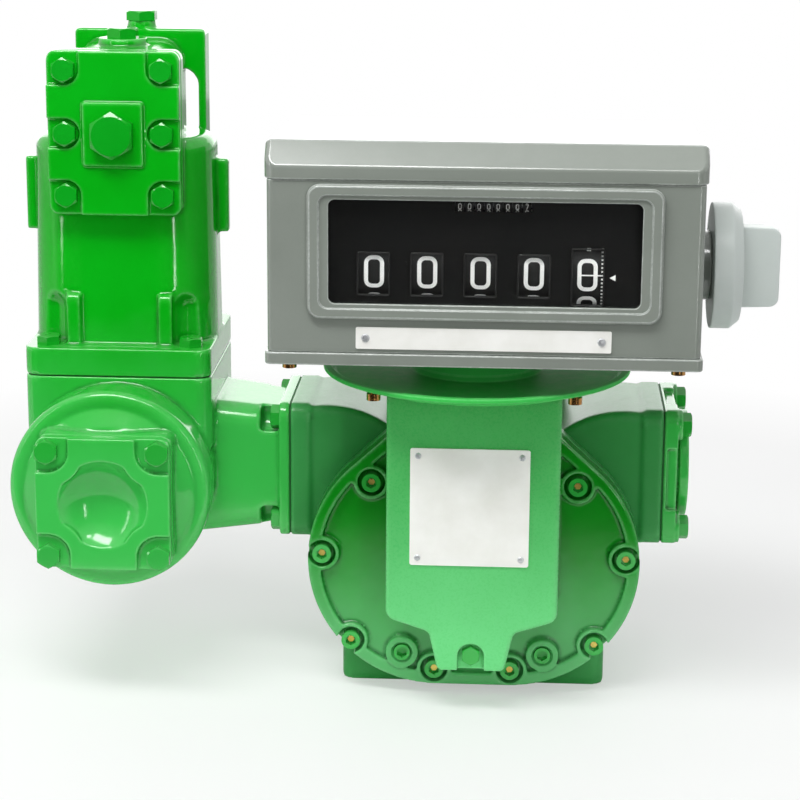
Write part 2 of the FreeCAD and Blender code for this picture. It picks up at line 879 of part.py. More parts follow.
def gear_case_cover():
    """Deep cast cover over the output gears, open at the back."""
    back = -cover_outer
    shell = Part.Face(gear_case_wire(case_front)).extrude(V(0, back - case_front, 0))
    shell = rounded(shell, case_edge_radius, lambda p,
                    e: abs(p.y - case_front) < 0.01 and p.z < case_top - 1)
    inner_wire = gear_case_wire(case_front + case_wall).makeOffset2D(-case_wall)
    hollow = Part.Face(inner_wire).extrude(V(0, back - case_front, 0))
    shell = shell.cut(hollow)
    bolt_post = rod("y", case_niche_radius + case_wall, 0, case_bolt_height,
                    case_front + case_edge_radius, back)
    shell_outline = Part.Face(gear_case_wire(case_front + case_edge_radius)).extrude(
        V(0, back - case_front - case_edge_radius, 0))
    shell = fused([shell, bolt_post.common(shell_outline)])
    niche_floor = case_front + case_niche_depth
    cuts = [
        rod("y", case_niche_radius, 0, case_bolt_height, case_front - 1, niche_floor),
        block(-case_niche_radius, case_niche_radius, case_front - 1, niche_floor, case_tongue_bottom - 1,
              case_bolt_height),
        rod("y", case_bolt_shank_radius + hex_hole_clearance, 0, case_bolt_height, case_front, back + 1),
        rod("z", vertical_shaft_radius + 1, 0, vertical_shaft_y, case_top - case_wall - 1, case_top + 1),
    ]
    left = plate_centre_x - plate_width / 2
    for x, z in plate_corners(left, plate_bottom, plate_width, plate_height, rivet_inset):
        cuts.append(rod("y", rivet_shank_radius + seat_clearance, x, z, case_front - 1,
                        case_front + case_wall - 1))
    return cut_all(shell, cuts)


def gear_case_bolt():
    seat = case_front + case_niche_depth
    length = -cover_outer - seat
    return hex_screw("y", 0, case_bolt_height, seat, -1, case_bolt_across_flats, case_bolt_head_height,
                     case_bolt_shank_radius, length - end_gap)


def plate_corners(left, bottom, width, height, inset):
    xs = (left + inset, left + width - inset)
    zs = (bottom + inset, bottom + height - inset)
    return [(x, z) for x in xs for z in zs]


def nameplate():
    left = plate_centre_x - plate_width / 2
    plate = prism("y", case_front - plate_thickness, case_front,
                  rectangle(left, left + plate_width, plate_bottom,
                            plate_bottom + plate_height), plate_corner)
    holes = []
    for x, z in plate_corners(left, plate_bottom, plate_width, plate_height, rivet_inset):
        holes.append(rod("y", rivet_shank_radius + seat_clearance, x, z, case_front - plate_thickness - 1,
                         case_front + 1))
    return cut_all(plate, holes)


def nameplate_rivets():
    left = plate_centre_x - plate_width / 2
    seat = case_front - plate_thickness
    rivets = []
    for x, z in plate_corners(left, plate_bottom, plate_width, plate_height, rivet_inset):
        head = turned([(0, 0), (rivet_head_radius, 0), (rivet_head_radius * 0.7, rivet_head_height * 0.8),
                       (0, rivet_head_height)], V(0, 0, 0), "y")
        head.rotate(V(0, 0, 0), V(0, 0, 1), 180)
        head.translate(V(x, seat, z))
        shank = rod("y", rivet_shank_radius, x, z, seat - 0.2, case_front + case_wall - 1.5)
        rivets.append(fused([head, shank]))
    return Part.makeCompound(rivets)


def bevel(axis, out, u, v, apex, shaft_radius):
    """Forty-five degree bevel gear blank facing its apex, bored for its shaft."""
    profile = [
        (shaft_radius, bevel_inner + bevel_gap),
        (bevel_inner, bevel_inner + bevel_gap),
        (bevel_outer, bevel_outer + bevel_gap),
        (bevel_outer, bevel_outer + bevel_gap + bevel_back),
        (shaft_radius, bevel_outer + bevel_gap + bevel_back),
    ]
    gear = turned(profile, V(0, 0, 0), "z")
    direction = AXES[axis] * out
    gear.Placement = FreeCAD.Placement(place(axis, u, v, apex), FreeCAD.Rotation(V(0, 0, 1), direction))
    return gear


def drive_bevel_gear():
    return bevel("y", -1, 0, blocking_height, vertical_shaft_y, drive_shaft_radius)


def vertical_shaft():
    """Upright shaft from the output bevels to the register mechanism."""
    gear = bevel("z", 1, 0, vertical_shaft_y, blocking_height, vertical_shaft_radius)
    low = blocking_height + bevel_inner + bevel_gap
    high = register_bottom + register_base_thickness + dog_rise
    shaft = rod("z", vertical_shaft_radius, 0, vertical_shaft_y, low, high)
    dog = rod("z", dog_radius, 0, vertical_shaft_y, high - dog_height, high)
    return fused([gear, shaft, dog])


def counter_adapter():
    """Round dished plate on the body and gear case that carries the register."""
    profile = [
        (0, case_top),
        (adapter_step_radius, case_top),
        (adapter_step_radius + adapter_step_taper, adapter_edge_underside),
        (adapter_radius, adapter_edge_underside + adapter_edge_thickness),
        (adapter_radius, adapter_rim_top),
        (adapter_radius - adapter_rim_width, adapter_rim_top),
        (adapter_radius - adapter_rim_width - adapter_floor_chamfer, adapter_floor),
        (adapter_hub_radius + adapter_floor_chamfer, adapter_floor),
        (adapter_hub_radius, adapter_floor + adapter_floor_chamfer),
        (adapter_hub_radius, register_bottom),
        (0, register_bottom),
    ]
    disc = turned(profile, V(0, adapter_centre_y, 0), "z")
    cuts = [rod("z", vertical_shaft_radius + running_clearance, 0, vertical_shaft_y, case_top - 1,
                register_bottom + 1)]
    for x, y in adapter_screw_spots():
        cuts.append(rod("z", brass_shank_radius + seat_clearance, x, y, case_top,
                        adapter_floor + adapter_floor_chamfer + 1))
    return cut_all(disc, cuts)


def adapter_screw_spots():
    return grid(0, adapter_centre_y, 2 * adapter_screw_offset_x, 2 * adapter_screw_offset_y)


def base_screw_spots():
    centre_y = register_front + register_depth / 2
    return grid(register_centre_x, centre_y, register_width - 2 * base_screw_inset_x,
                register_depth - 2 * base_screw_inset_y)


def cheese_screw(x, y, seat, length):
    """Slotted brass screw pointing up, its head hanging below the seat."""
    head = rod("z", brass_head_radius, x, y, seat - brass_head_height, seat)
    shank = rod("z", brass_shank_radius, x, y, seat - 0.5, seat + length)
    slot = block(x - brass_head_radius - 1, x + brass_head_radius + 1, y - brass_slot_half_width,
                 y + brass_slot_half_width, seat - brass_head_height - 1,
                 seat - brass_head_height + brass_slot_depth)
    return fused([head, shank]).cut(slot)


def brass_screws():
    screws = []
    for x, y in base_screw_spots():
        screws.append(cheese_screw(x, y, register_bottom, brass_shank_length))
    reach = adapter_radius - math.hypot(adapter_screw_offset_x, adapter_screw_offset_y)
    slope = adapter_edge_thickness / (adapter_radius - adapter_step_radius - adapter_step_taper)
    seat = adapter_edge_underside + adapter_edge_thickness - reach * slope - brass_head_radius * slope
    for x, y in adapter_screw_spots():
        screws.append(cheese_screw(x, y, seat, adapter_rim_top - seat - adapter_screw_short))
    return Part.makeCompound(screws)


# ------------------------------------------------------------------ register
register_left = register_centre_x - register_width / 2
register_right = register_centre_x + register_width / 2
register_rear = register_front + register_depth
case_left = register_left + register_case_inset
case_right = register_right - register_case_inset
case_face = register_front + register_case_inset
case_back = register_rear - register_case_inset
window_bottom = bezel_bottom + (bezel_height - window_height) / 2
dial_front = case_face + register_wall + dial_gap
wheel_axis_y = dial_front + dial_thickness + wheel_gap + wheel_radius
total_axis_y = dial_front + dial_thickness + total_gap + total_radius


def wheel_centre(index):
    middle = (wheel_count - 1) / 2
    return register_centre_x + wheel_row_offset + (index - middle) * wheel_pitch


def total_centre(index):
    middle = (total_count - 1) / 2
    return register_centre_x + total_row_offset + (index - middle) * total_pitch


def register_base():
    """Base plate with the two uprights that carry the wheel shaft."""
    top = register_bottom + register_base_thickness
    plate = prism("z", register_bottom, top, rectangle(register_left, register_right, register_front,
                                                       register_rear),
                  register_corner)
    uprights = []
    for side in (-1, 1):
        x = register_centre_x + side * frame_upright_offset
        half = frame_upright_thickness / 2
        upright = block(x - half, x + half, wheel_axis_y - frame_upright_half_depth,
                        wheel_axis_y + frame_upright_half_depth, top - 1, wheel_height)
        crown = rod("x", frame_upright_half_depth, wheel_axis_y, wheel_height, x - half, x + half)
        uprights += [upright, crown]
    base = fused([plate] + uprights)
    cuts = [
        rod("x", wheel_shaft_radius + seat_clearance, wheel_axis_y, wheel_height, register_left,
            register_right),
        rod("z", vertical_shaft_radius + 1, 0, vertical_shaft_y, register_bottom - 1, top + 1),
    ]
    for x, y in base_screw_spots():
        cuts.append(rod("z", brass_shank_radius + seat_clearance, x, y, register_bottom - 1, top - 1))
    return cut_all(base, cuts)


def register_case():
    """Four walls with the window opening and the boss for the reset knob."""
    low = register_bottom + register_base_thickness
    high = register_lid_bottom
    outer = prism("z", low, high, rectangle(case_left, case_right, case_face, case_back), register_corner)
    wall = register_wall
    inner = block(case_left + wall, case_right - wall, case_face + wall, case_back - wall, low - 1,
                  high + 1)
    boss = rod("x", knob_boss_radius, knob_y, knob_height, case_right - wall, case_right + knob_disc_start
               - knob_boss_gap)
    shell = fused([outer.cut(inner), boss])
    half = window_width / 2 + glass_overlap + glass_clearance
    opening = slab("y", case_face - 1, case_face + wall + 1, register_centre_x,
                   window_bottom + window_height / 2,
                   half, window_height / 2 + glass_overlap + glass_clearance, window_corner)
    shaft_hole = rod("x", knob_shaft_radius + running_clearance, knob_y, knob_height, case_right - wall - 1,
                     case_right + knob_disc_start)
    return shell.cut([opening, shaft_hole])


def register_lid():
    """Lid with an upright lip, a sloped front and a top that falls to the rear."""
    low = register_lid_bottom
    lip_top = low + register_lid_lip
    slope = (register_top - lip_top) / register_lid_setback
    rear_top = register_top - register_lid_fall
    outline = prism("z", low, register_top + 1,
                    rectangle(register_left, register_right, register_front,
                              register_rear), register_lid_corner)
    side = prism("x", register_left - 1, register_right + 1, [
        (register_front - 1, low - 1),
        (register_rear + 1, low - 1),
        (register_rear + 1, rear_top),
        (register_front + register_lid_setback, register_top),
        (register_front - 1, lip_top - slope),
    ])
    lid = outline.common(side)
    lid = rounded(lid, register_lid_round, lambda p, e: rear_top - 0.5 < p.z and not crease(e))
    wall = register_wall
    hollow = block(case_left + wall, case_right - wall, register_front + register_lid_setback + wall,
                   case_back - wall, low - 1, rear_top - wall)
    return lid.cut(hollow)


def crease(edge):
    """The lid's edge between its slope and its top."""
    middle = edge.valueAt((edge.FirstParameter + edge.LastParameter) / 2)
    return abs(middle.y - register_front - register_lid_setback) < 0.1


def window_bezel():
    """Two-step rectangular frame round the window."""
    centre_z = bezel_bottom + bezel_height / 2
    front = case_face - bezel_proud
    outer = slab("y", front, case_face, register_centre_x, centre_z, bezel_width / 2, bezel_height / 2,
                 bezel_corner)
    outer = outer.makeChamfer(bezel_chamfer,
                              [e for e in outer.Edges if abs(e.BoundBox.YMax - front) < 0.01])
    step = slab("y", front - 1, front + bezel_step_depth, register_centre_x, centre_z,
                window_width / 2 + bezel_step, window_height / 2 + bezel_step / 2, window_corner + 2)
    hole = slab("y", front - 1, case_face + 1, register_centre_x, centre_z, window_width / 2,
                window_height / 2,
                window_corner)
    return outer.cut([step, hole])


def window_glass():
    centre_z = window_bottom + window_height / 2
    return slab("y", case_face, case_face + glass_thickness, register_centre_x, centre_z,
                window_width / 2 + glass_overlap, window_height / 2 + glass_overlap, window_corner)


def dial_plate():
    """Tray behind the glass, pierced for the wheels, with ears for the totalizer."""
    centre_z = window_bottom + window_height / 2
    half_width = window_width / 2 + dial_margin
    half_height = window_height / 2 + dial_margin
    back = dial_front + dial_thickness
    wall_face = case_face + register_wall
    tray = slab("y", wall_face, back, register_centre_x, centre_z, half_width, half_height, window_corner)
    inner = slab("y", wall_face - 1, dial_front, register_centre_x, centre_z, half_width - dial_thickness,
                 half_height - dial_thickness, window_corner - dial_thickness)
    tray = tray.cut(inner)
    ears = []
    row_half = total_count * total_pitch / 2
    row_centre = register_centre_x + total_row_offset
    for side in (-1, 1):
        x = row_centre + side * (row_half + 0.5 + total_ear_thickness / 2)
        half = total_ear_thickness / 2
        ears.append(block(x - half, x + half, back - 0.5, total_axis_y + total_ear_depth,
                          total_height - total_ear_half_height, total_height + total_ear_half_height))
    tray = fused([tray] + ears)
    cuts = []
    for index in range(wheel_count):
        height = units_hole_height if index == wheel_count - 1 else wheel_hole_height
        cuts.append(slab("y", dial_front - 1, back + 0.1, wheel_centre(index), wheel_height,
                         wheel_hole_width / 2, height / 2, 0))
    cuts.append(slab("y", dial_front - 1, back + 0.1, row_centre, total_height, row_half + 0.2,
                     total_slot_height / 2, 0))
    cuts.append(rod("x", total_shaft_radius + seat_clearance, total_axis_y, total_height,
                    row_centre - 2 * row_half,
                    row_centre + 2 * row_half))
    return cut_all(tray, cuts)


def number_wheel(index):
    """Numeral wheel: thin rim, web and bored hub."""
    x = wheel_centre(index)
    half = wheel_width / 2
    profile = [
        (wheel_shaft_radius + running_clearance, -half),
        (wheel_hub_radius, -half),
        (wheel_hub_radius, -wheel_web_thickness / 2),
        (wheel_radius - wheel_rim_thickness, -wheel_web_thickness / 2),
        (wheel_radius - wheel_rim_thickness, -half),
        (wheel_radius, -half),
        (wheel_radius, half),
        (wheel_radius - wheel_rim_thickness, half),
        (wheel_radius - wheel_rim_thickness, wheel_web_thickness / 2),
        (wheel_hub_radius, wheel_web_thickness / 2),
        (wheel_hub_radius, half),
        (wheel_shaft_radius + running_clearance, half),
    ]
    return turned(profile, V(x, wheel_axis_y, wheel_height), "x")


def wheel_shaft():
    reach = frame_upright_offset + frame_upright_thickness
    return rod("x", wheel_shaft_radius, wheel_axis_y, wheel_height, register_centre_x - reach,
               register_centre_x + reach)


def totalizer_wheel(index):
    x = total_centre(index)
    wheel = rod("x", total_radius, total_axis_y, total_height, x - total_width / 2, x + total_width / 2)
    bore = rod("x", total_shaft_radius + running_clearance, total_axis_y, total_height, x - total_width,
               x + total_width)
    return wheel.cut(bore)


def totalizer_shaft():
    row_half = total_count * total_pitch / 2 + 0.5 + total_ear_thickness + 1.0
    row_centre = register_centre_x + total_row_offset
    return rod("x", total_shaft_radius, total_axis_y, total_height, row_centre - row_half,
               row_centre + row_half)


def reset_knob():
    """Round knob on the right-hand side with a flat wing to grip."""
    start = case_right + knob_disc_start
    face = start + knob_disc_thickness
    disc = turned(
        [
            (0, start),
            (knob_radius, start),
            (knob_radius, face - knob_disc_bevel_depth),
            (knob_radius - knob_disc_bevel, face),
            (0, face),
        ],
        V(0, knob_y, knob_height),
        "x",
    )
    grip = prism("y", knob_y - knob_grip_half_thickness, knob_y + knob_grip_half_thickness, [
        (face - knob_grip_root, knob_height - knob_grip_half_height),
        (face + knob_grip_length, knob_height - knob_grip_half_height + knob_grip_draft, knob_grip_corner),
        (face + knob_grip_length, knob_height + knob_grip_half_height - knob_grip_draft, knob_grip_corner),
        (face - knob_grip_root, knob_height + knob_grip_half_height),
    ], 0)
    shaft = rod("x", knob_shaft_radius, knob_y, knob_height,
                case_right - register_wall - knob_shaft_inside, start + 1)
    return fused([disc, grip, shaft])


def strip_screw_spots():
    z = strip_bottom + strip_height / 2
    reach = strip_width / 2 - strip_screw_inset
    return [(register_centre_x - reach, z), (register_centre_x + reach, z)]


def notice_strip():
    strip = slab("y", case_face - strip_thickness, case_face, register_centre_x,
                 strip_bottom + strip_height / 2,
                 strip_width / 2, strip_height / 2, 1.0)
    return strip


def strip_screws():
    screws = []
    seat = case_face - strip_thickness
    for x, z in strip_screw_spots():
        head = turned([(0, 0), (strip_screw_radius, 0), (strip_screw_radius * 0.75, 1.0), (0, 1.3)],
                      V(0, 0, 0), "y")
        head.rotate(V(0, 0, 0), V(0, 0, 1), 180)
        head.translate(V(x, seat, z))
        screws.append(head)
    return Part.makeCompound(screws)


# ------------------------------------------------------------------ strainer
def strainer_slab(z0, z1, half_x, half_y, radius):
    return slab("z", z0, z1, strainer_x, 0, half_x, half_y, radius)


def saddle_opening(z0, z1):
    """Way up from the drum into the air eliminator."""
    return strainer_slab(z0, z1, saddle_opening_half_width, saddle_opening_half_depth,
                         saddle_opening_corner)


saddle_spots = grid(strainer_x, 0, air_bolt_spacing_x, air_bolt_spacing_y)
strainer_cover_spots = grid(strainer_x, cover_centre_z, cover_bolt_spacing_x, cover_bolt_spacing_z)


def section(axis, w, u, v, half_u, half_v, radius):
    return corner_wire(axis, w, rectangle(u - half_u, u + half_u, v - half_v, v + half_v), radius)


def strainer_housing():
    """Cast drum on its side with a square mouth, an outlet neck and a saddle."""
    x, z = strainer_x, port_height
    front = drum_front
    rim = rod("y", drum_radius, x, z, front, front + drum_rim_depth)
    rim = rounded(rim, drum_edge_radius, lambda p,
                  e: abs(p.y - front) < 0.1 and e.Curve.TypeId.endswith("Circle"))
    barrel = rod("y", drum_radius - drum_step, x, z, front + drum_rim_depth - 1, drum_rear)
    cone = Part.makeCone(mouth_cone_radius + 4, drum_radius - drum_edge_radius - 4,
                         front - mouth_flange_front - mouth_flange_thickness + 1,
                         V(x, mouth_flange_front + mouth_flange_thickness - 0.5, z), V(0, 1, 0))
    mouth = slab("y", mouth_flange_front, front + 1, x, cover_centre_z, mouth_size / 2, mouth_size / 2,
                 mouth_corner)
    face = -port_flange_face - gasket_thickness
    flange_back = face - strainer_flange_thickness
    neck = Part.makeLoft([
        section("x", x + neck_root, 0, z, neck_drum_half_depth, neck_drum_half_height, neck_corner),
        section("x", flange_back + 1, 0, z, neck_flange_half_depth, neck_flange_half_height, neck_corner),
    ], True, True)
    flange = slab("x", flange_back, face, 0, z, port_flange_size / 2, port_flange_size / 2,
                  port_flange_corner)
    saddle = strainer_slab(saddle_bottom, saddle_top, saddle_half_width, saddle_half_depth, saddle_corner)
    inlet = rod("y", inlet_boss_radius, x, z, drum_rear - 1, drum_rear + inlet_boss_length)
    housing = fused([rim, barrel, cone, mouth, neck, flange, saddle, inlet])

    inner = drum_radius - drum_step - drum_wall
    cavity = rod("y", inner, x, z, front + drum_wall, drum_rear - drum_wall)
    cuts = [
        cavity,
        rod("y", mouth_bore_radius, x, cover_centre_z, mouth_flange_front - 1, front + drum_wall + 1),
        rod("x", neck_bore_radius, 0, z, x, face + 1),
        rod("y", pipe_thread_radius, x, z, drum_rear + inlet_boss_length - inlet_thread_length,
            drum_rear + inlet_boss_length + 1),
        rod("y", port_bore_radius, x, z, drum_rear - drum_wall - 1, drum_rear + inlet_boss_length),
        saddle_opening(z, saddle_top + 1),
    ]
    for u, v in port_spots:
        cuts.append(rod("x", hex_hole_radius, u, v, flange_back - 1, face + 1))
        cuts.append(rod("x", neck_pocket_radius, u, v, flange_back - neck_pocket_depth, flange_back))
    for u, v in saddle_spots:
        cuts.append(rod("z", hex_hole_radius, u, v,
                        saddle_top - air_shank_length + air_flange_thickness - 2,
                        saddle_top + 1))
    for u, v in strainer_cover_spots:
        cuts.append(rod("y", hex_hole_radius, u, v, mouth_flange_front - 1,
                        cover_seat() + strainer_shank_length + 1))
    return cut_all(housing, cuts)


def cover_seat():
    """Face of the strainer cover on which the bolt heads sit."""
    return cover_plate_front + cover_pad_rise


def strainer_cover():
    """Square cover with a raised round pad, corner pockets and a deep dish."""
    back = mouth_flange_front - gasket_thickness
    x, z = strainer_x, cover_centre_z
    plate = slab("y", cover_seat(), back, x, z, mouth_size / 2, mouth_size / 2, mouth_corner)
    pad = slab("y", cover_plate_front, cover_seat() + 1, x, z, mouth_size / 2, mouth_size / 2, mouth_corner)
    pockets = []
    for u, v in strainer_cover_spots:
        pockets.append(rod("y", cover_pocket_radius, u, v, cover_plate_front - 1, cover_seat()))
        side_u = 1 if u > x else -1
        side_v = 1 if v > z else -1
        far_u = u + side_u * cover_pocket_radius
        far_v = v + side_v * cover_pocket_radius
        pockets.append(block(min(u, far_u), max(u, far_u), cover_plate_front - 1, cover_seat(),
                             min(v - side_v * cover_pocket_radius,
                                 far_v), max(v - side_v * cover_pocket_radius, far_v)))
        pockets.append(block(min(u - side_u * cover_pocket_radius, far_u),
                             max(u - side_u * cover_pocket_radius, far_u),
                             cover_plate_front - 1, cover_seat(), min(v, far_v), max(v, far_v)))
    cover = fused([plate, pad]).cut(pockets)
    cover = cover.removeSplitter()
    bowl = (cover_dish_radius ** 2 + cover_dish_hollow ** 2) / (2 * cover_dish_hollow)
    middle = V(x, cover_plate_front + cover_dish_hollow - bowl, z)
    reach = cover_dish_hollow + cover_dish_wall
    bulge = Part.makeSphere(bowl + cover_dish_wall, middle).common(
        rod("y", mouth_bore_radius, x, z, back - 1, back + reach))
    bosses = [rod("y", cover_bolt_boss_radius, u, v, cover_plate_front - 1, back + reach)
              for u, v in strainer_cover_spots]
    dish = Part.makeSphere(bowl, middle).cut(bosses)
    holes = [dish]
    for u, v in strainer_cover_spots:
        holes.append(rod("y", hex_hole_radius, u, v, cover_plate_front - 1, back + 1))
    return cut_all(fused([cover, bulge]), holes)


def strainer_cover_bolts():
    bolts = []
    for u, v in strainer_cover_spots:
        bolts.append(hex_screw("y", u, v, cover_seat(), -1, hex_across_flats, hex_head_height,
                               hex_shank_radius,
                               strainer_shank_length))
    return Part.makeCompound(bolts)


def strainer_basket():
    """Open tube with a closed rear end that catches dirt inside the drum."""
    x, z = strainer_x, port_height
    inner = drum_radius - drum_step - drum_wall
    tube = rod("y", basket_radius, x, z, drum_front + drum_wall, basket_rear)
    hollow = rod("y", basket_radius - basket_wall, x, z, drum_front, basket_rear - basket_wall)
    ring = rod("y", inner - seat_clearance, x, z, drum_front + drum_wall,
               drum_front + drum_wall + basket_ring_depth)
    opening = rod("y", mouth_bore_radius, x, z, drum_front,
                  drum_front + drum_wall + basket_ring_depth + 1)
    return fused([tube, ring]).cut([hollow, opening])


def inlet_joint_bolts():
    bolts = []
    seat = -port_flange_face - gasket_thickness - strainer_flange_thickness
    for u, v in port_spots:
        bolts.append(hex_screw("x", u, v, seat, -1, hex_across_flats, hex_head_height, hex_shank_radius,
                               strainer_flange_thickness + gasket_thickness + port_bolt_depth - 1))
    return Part.makeCompound(bolts)


# ------------------------------------------------------------ air eliminator
def air_section(z, half_x, half_y, radius):
    return section("z", z, strainer_x, 0, half_x, half_y, radius)


def air_eliminator_body():
    """Tall oval chamber with bolt pockets, side lugs, valve head and rear arch."""
    base = saddle_top + gasket_thickness
    flange_top = base + air_flange_thickness
    flange = strainer_slab(base, flange_top, saddle_half_width, saddle_half_depth, saddle_corner)
    chamber = Part.makeLoft([
        air_section(flange_top - 1, air_bottom_half_width, air_bottom_half_depth, air_corner),
        air_section(air_top, air_top_half_width, air_top_half_depth, air_corner),
    ], True, True)
    chamber = rounded(chamber, air_shoulder_radius, lambda p, e: abs(p.z - air_top) < 0.1)
    solids = [flange, chamber]
    for side in (-1, 1):
        for face in (-1, 1):
            x = strainer_x + side * pilaster_offset
            reach = face * (air_bottom_half_depth + pilaster_rise)
            low, high = sorted((face * (air_top_half_depth - pilaster_root), reach))
            column = block(x - pilaster_width / 2, x + pilaster_width / 2, low, high, flange_top - 1,
                           flange_top + pilaster_height)
            middle = flange_top + pilaster_height / 2
            column = rounded(column, pilaster_round,
                             lambda p, e, r=reach: abs(p.y - r) < 0.01 and p.z > middle)
            solids.append(column)
        far = strainer_x + side * lug_reach
        near = strainer_x + side * (air_top_half_width - lug_root)
        lug = block(min(near, far), max(near, far), -lug_thickness / 2, lug_thickness / 2,
                    lug_top - lug_height, lug_top)
        solids.append(lug)
    solids += head_solids()
    body = fused(solids)

    cuts = []
    for u, v in saddle_spots:
        cuts.append(rod("z", hex_hole_radius, u, v, base - 1, flange_top + 1))
        cuts.append(rod("z", air_pocket_radius, u, v, flange_top, flange_top + air_pocket_height))
        cuts.append(Part.makeSphere(air_pocket_radius, V(u, v, flange_top + air_pocket_height)))
    narrow_top = flange_top + pilaster_height + air_throat_rise
    cuts.append(saddle_opening(base - 1, narrow_top))
    wall = air_wall
    cuts.append(Part.makeLoft([
        air_section(narrow_top - 0.5, air_bottom_half_width - wall - 4, air_bottom_half_depth - wall - 3,
                    air_corner - wall - 3),
        air_section(air_top - wall, air_top_half_width - wall - 4, air_top_half_depth - wall - 2,
                    air_corner - wall - 3),
    ], True, True))
    cuts.append(rod("y", plug_shank_radius + seat_clearance, strainer_x, plug_height_centre(),
                    head_flange_front - 1,
                    head_flange_front + plug_hole_depth))
    for u, v in valve_spots():
        cuts.append(rod("y", hex_hole_radius, u, v, head_flange_front - 1,
                        valve_seat() + valve_shank_length + 1))
    for u, v, top in vent_positions():
        cuts.append(rod("z", vent_shank_radius + seat_clearance, u, v, top - vent_shank_length - 0.5,
                        top + 1))
    body = cut_all(body, cuts)
    stem = rod("z", guide_radius, strainer_x, 0, float_bottom - guide_collar_height, air_top - wall + 1)
    collar = rod("z", guide_collar_radius, strainer_x, 0, float_bottom - guide_collar_height, float_bottom)
    return fused([body, stem, collar])


def head_solids():
    """Valve head on top of the chamber, with the arch behind it."""
    centre_z = (head_bottom + head_top) / 2
    back = arch_front + arch_depth
    block_body = slab("y", head_flange_front + 2, back, strainer_x, centre_z, head_half_width,
                      (head_top - head_bottom) / 2, head_corner)
    flange_z = head_flange_centre()
    flange = slab("y", head_flange_front, head_flange_front + head_flange_thickness, strainer_x, flange_z,
                  head_flange_width / 2, head_flange_height / 2, head_flange_corner)
    neck = rod("y", head_neck_radius, strainer_x, flange_z - head_neck_drop, head_flange_front + 1, 0)
    arch_low = air_top - air_shoulder_radius * 2
    left = strainer_x + arch_offset - arch_half_width
    right = strainer_x + arch_offset + arch_half_width
    outer = prism("y", arch_front, back, rectangle(left, right, arch_low, arch_top), arch_corner)
    gap = prism("y", arch_front - 1, back + 1, [
        (left + arch_leg, arch_low - 1, 0),
        (right - arch_leg, arch_low - 1, 0),
        (right - arch_leg, arch_top - arch_bar, arch_inner_corner),
        (left + arch_leg, arch_top - arch_bar, arch_inner_corner),
    ], 0)
    solids = [block_body, flange, neck, outer.cut(gap)]
    for u, v, top in vent_positions():
        radius = vent_boss_radius if v < arch_front else vent_rear_boss_radius
        solids.append(rod("z", radius, u, v, top - vent_boss_rise - 2, top))
    return solids


def vent_positions():
    """X, Y and top of each vent boss."""
    return [(strainer_x + u, v, level + vent_boss_rise) for u, v, level in vent_spots]


def head_flange_centre():
    return head_flange_top - head_flange_height / 2


def plug_height_centre():
    return valve_bolt_rows[1]


def valve_spots():
    return [(strainer_x + side * valve_bolt_offset, z) for side in (-1, 1) for z in valve_bolt_rows]


def valve_seat():
    """Face of the valve cover on which the bolt heads sit."""
    return head_flange_front - gasket_thickness - valve_cover_thickness + valve_pad_rise


def valve_cover():
    """Cover plate whose raised pad leaves a pocket round each bolt."""
    back = head_flange_front - gasket_thickness
    front = back - valve_cover_thickness
    seat = valve_seat()
    centre_z = head_flange_centre()
    half_w = head_flange_width / 2
    half_h = head_flange_height / 2
    plate = slab("y", front, back, strainer_x, centre_z, half_w, half_h, head_flange_corner)
    tools = []
    for u, v in valve_spots():
        side = 1 if u > strainer_x else -1
        r = valve_pocket_radius
        edge = strainer_x + side * (half_w + 1)
        tools.append(rod("y", r, u, v, front - 1, seat))
        low, high = sorted((u, edge))
        tools.append(block(low, high, front - 1, seat, v - r, v + r))
        if v != valve_bolt_rows[1]:
            up = 1 if v > centre_z else -1
            end = centre_z + up * (half_h + 1)
            low_z, high_z = sorted((v, end))
            low, high = sorted((u - side * r, edge))
            tools.append(block(low, high, front - 1, seat, low_z, high_z))
    plate = plate.cut(tools)
    plug_z = plug_height_centre()
    pad = slab("y", front - plug_pad_rise, front + 1, strainer_x, plug_z, plug_pad_half,
               plug_pad_half + 1.0,
               plug_pad_corner)
    plate = fused([plate, pad])
    cuts = [rod("y", plug_shank_radius + seat_clearance, strainer_x, plug_z, front - plug_pad_rise - 1,
                back + 1)]
    for u, v in valve_spots():
        cuts.append(rod("y", hex_hole_radius, u, v, front - 1, back + 1))
    return cut_all(plate, cuts)


def valve_cover_bolts():
    bolts = []
    for u, v in valve_spots():
        bolts.append(hex_screw("y", u, v, valve_seat(), -1, hex_across_flats, hex_head_height,
                               hex_shank_radius,
                               valve_shank_length))
    return Part.makeCompound(bolts)


def valve_plug():
    seat = head_flange_front - gasket_thickness - valve_cover_thickness - plug_pad_rise
    return hex_screw("y", strainer_x, plug_height_centre(), seat, -1, plug_across_flats, plug_height,
                     plug_shank_radius, plug_shank_length + valve_cover_thickness)


def vent_plugs():
    plugs = []
    for u, v, top in vent_positions():
        plugs.append(hex_screw("z", u, v, top, 1, vent_across_flats, vent_plug_height, vent_shank_radius,
                               vent_shank_length))
    return Part.makeCompound(plugs)


def air_eliminator_bolts():
    seat = saddle_top + gasket_thickness + air_flange_thickness
    bolts = []
    for u, v in saddle_spots:
        bolts.append(hex_screw("z", u, v, seat, 1, hex_across_flats, hex_head_height, hex_shank_radius,
                               air_shank_length))
    return Part.makeCompound(bolts)


def air_float():
    """Float that rises on the guide stem and closes the air valve."""
    bore = rod("z", guide_radius + running_clearance, strainer_x, 0, float_bottom - 1,
               float_bottom + float_height + 1)
    body = rod("z", float_radius, strainer_x, 0, float_bottom, float_bottom + float_height)
    body = rounded(body, float_corner, lambda p, e: e.Curve.TypeId.endswith("Circle"))
    return body.cut(bore)


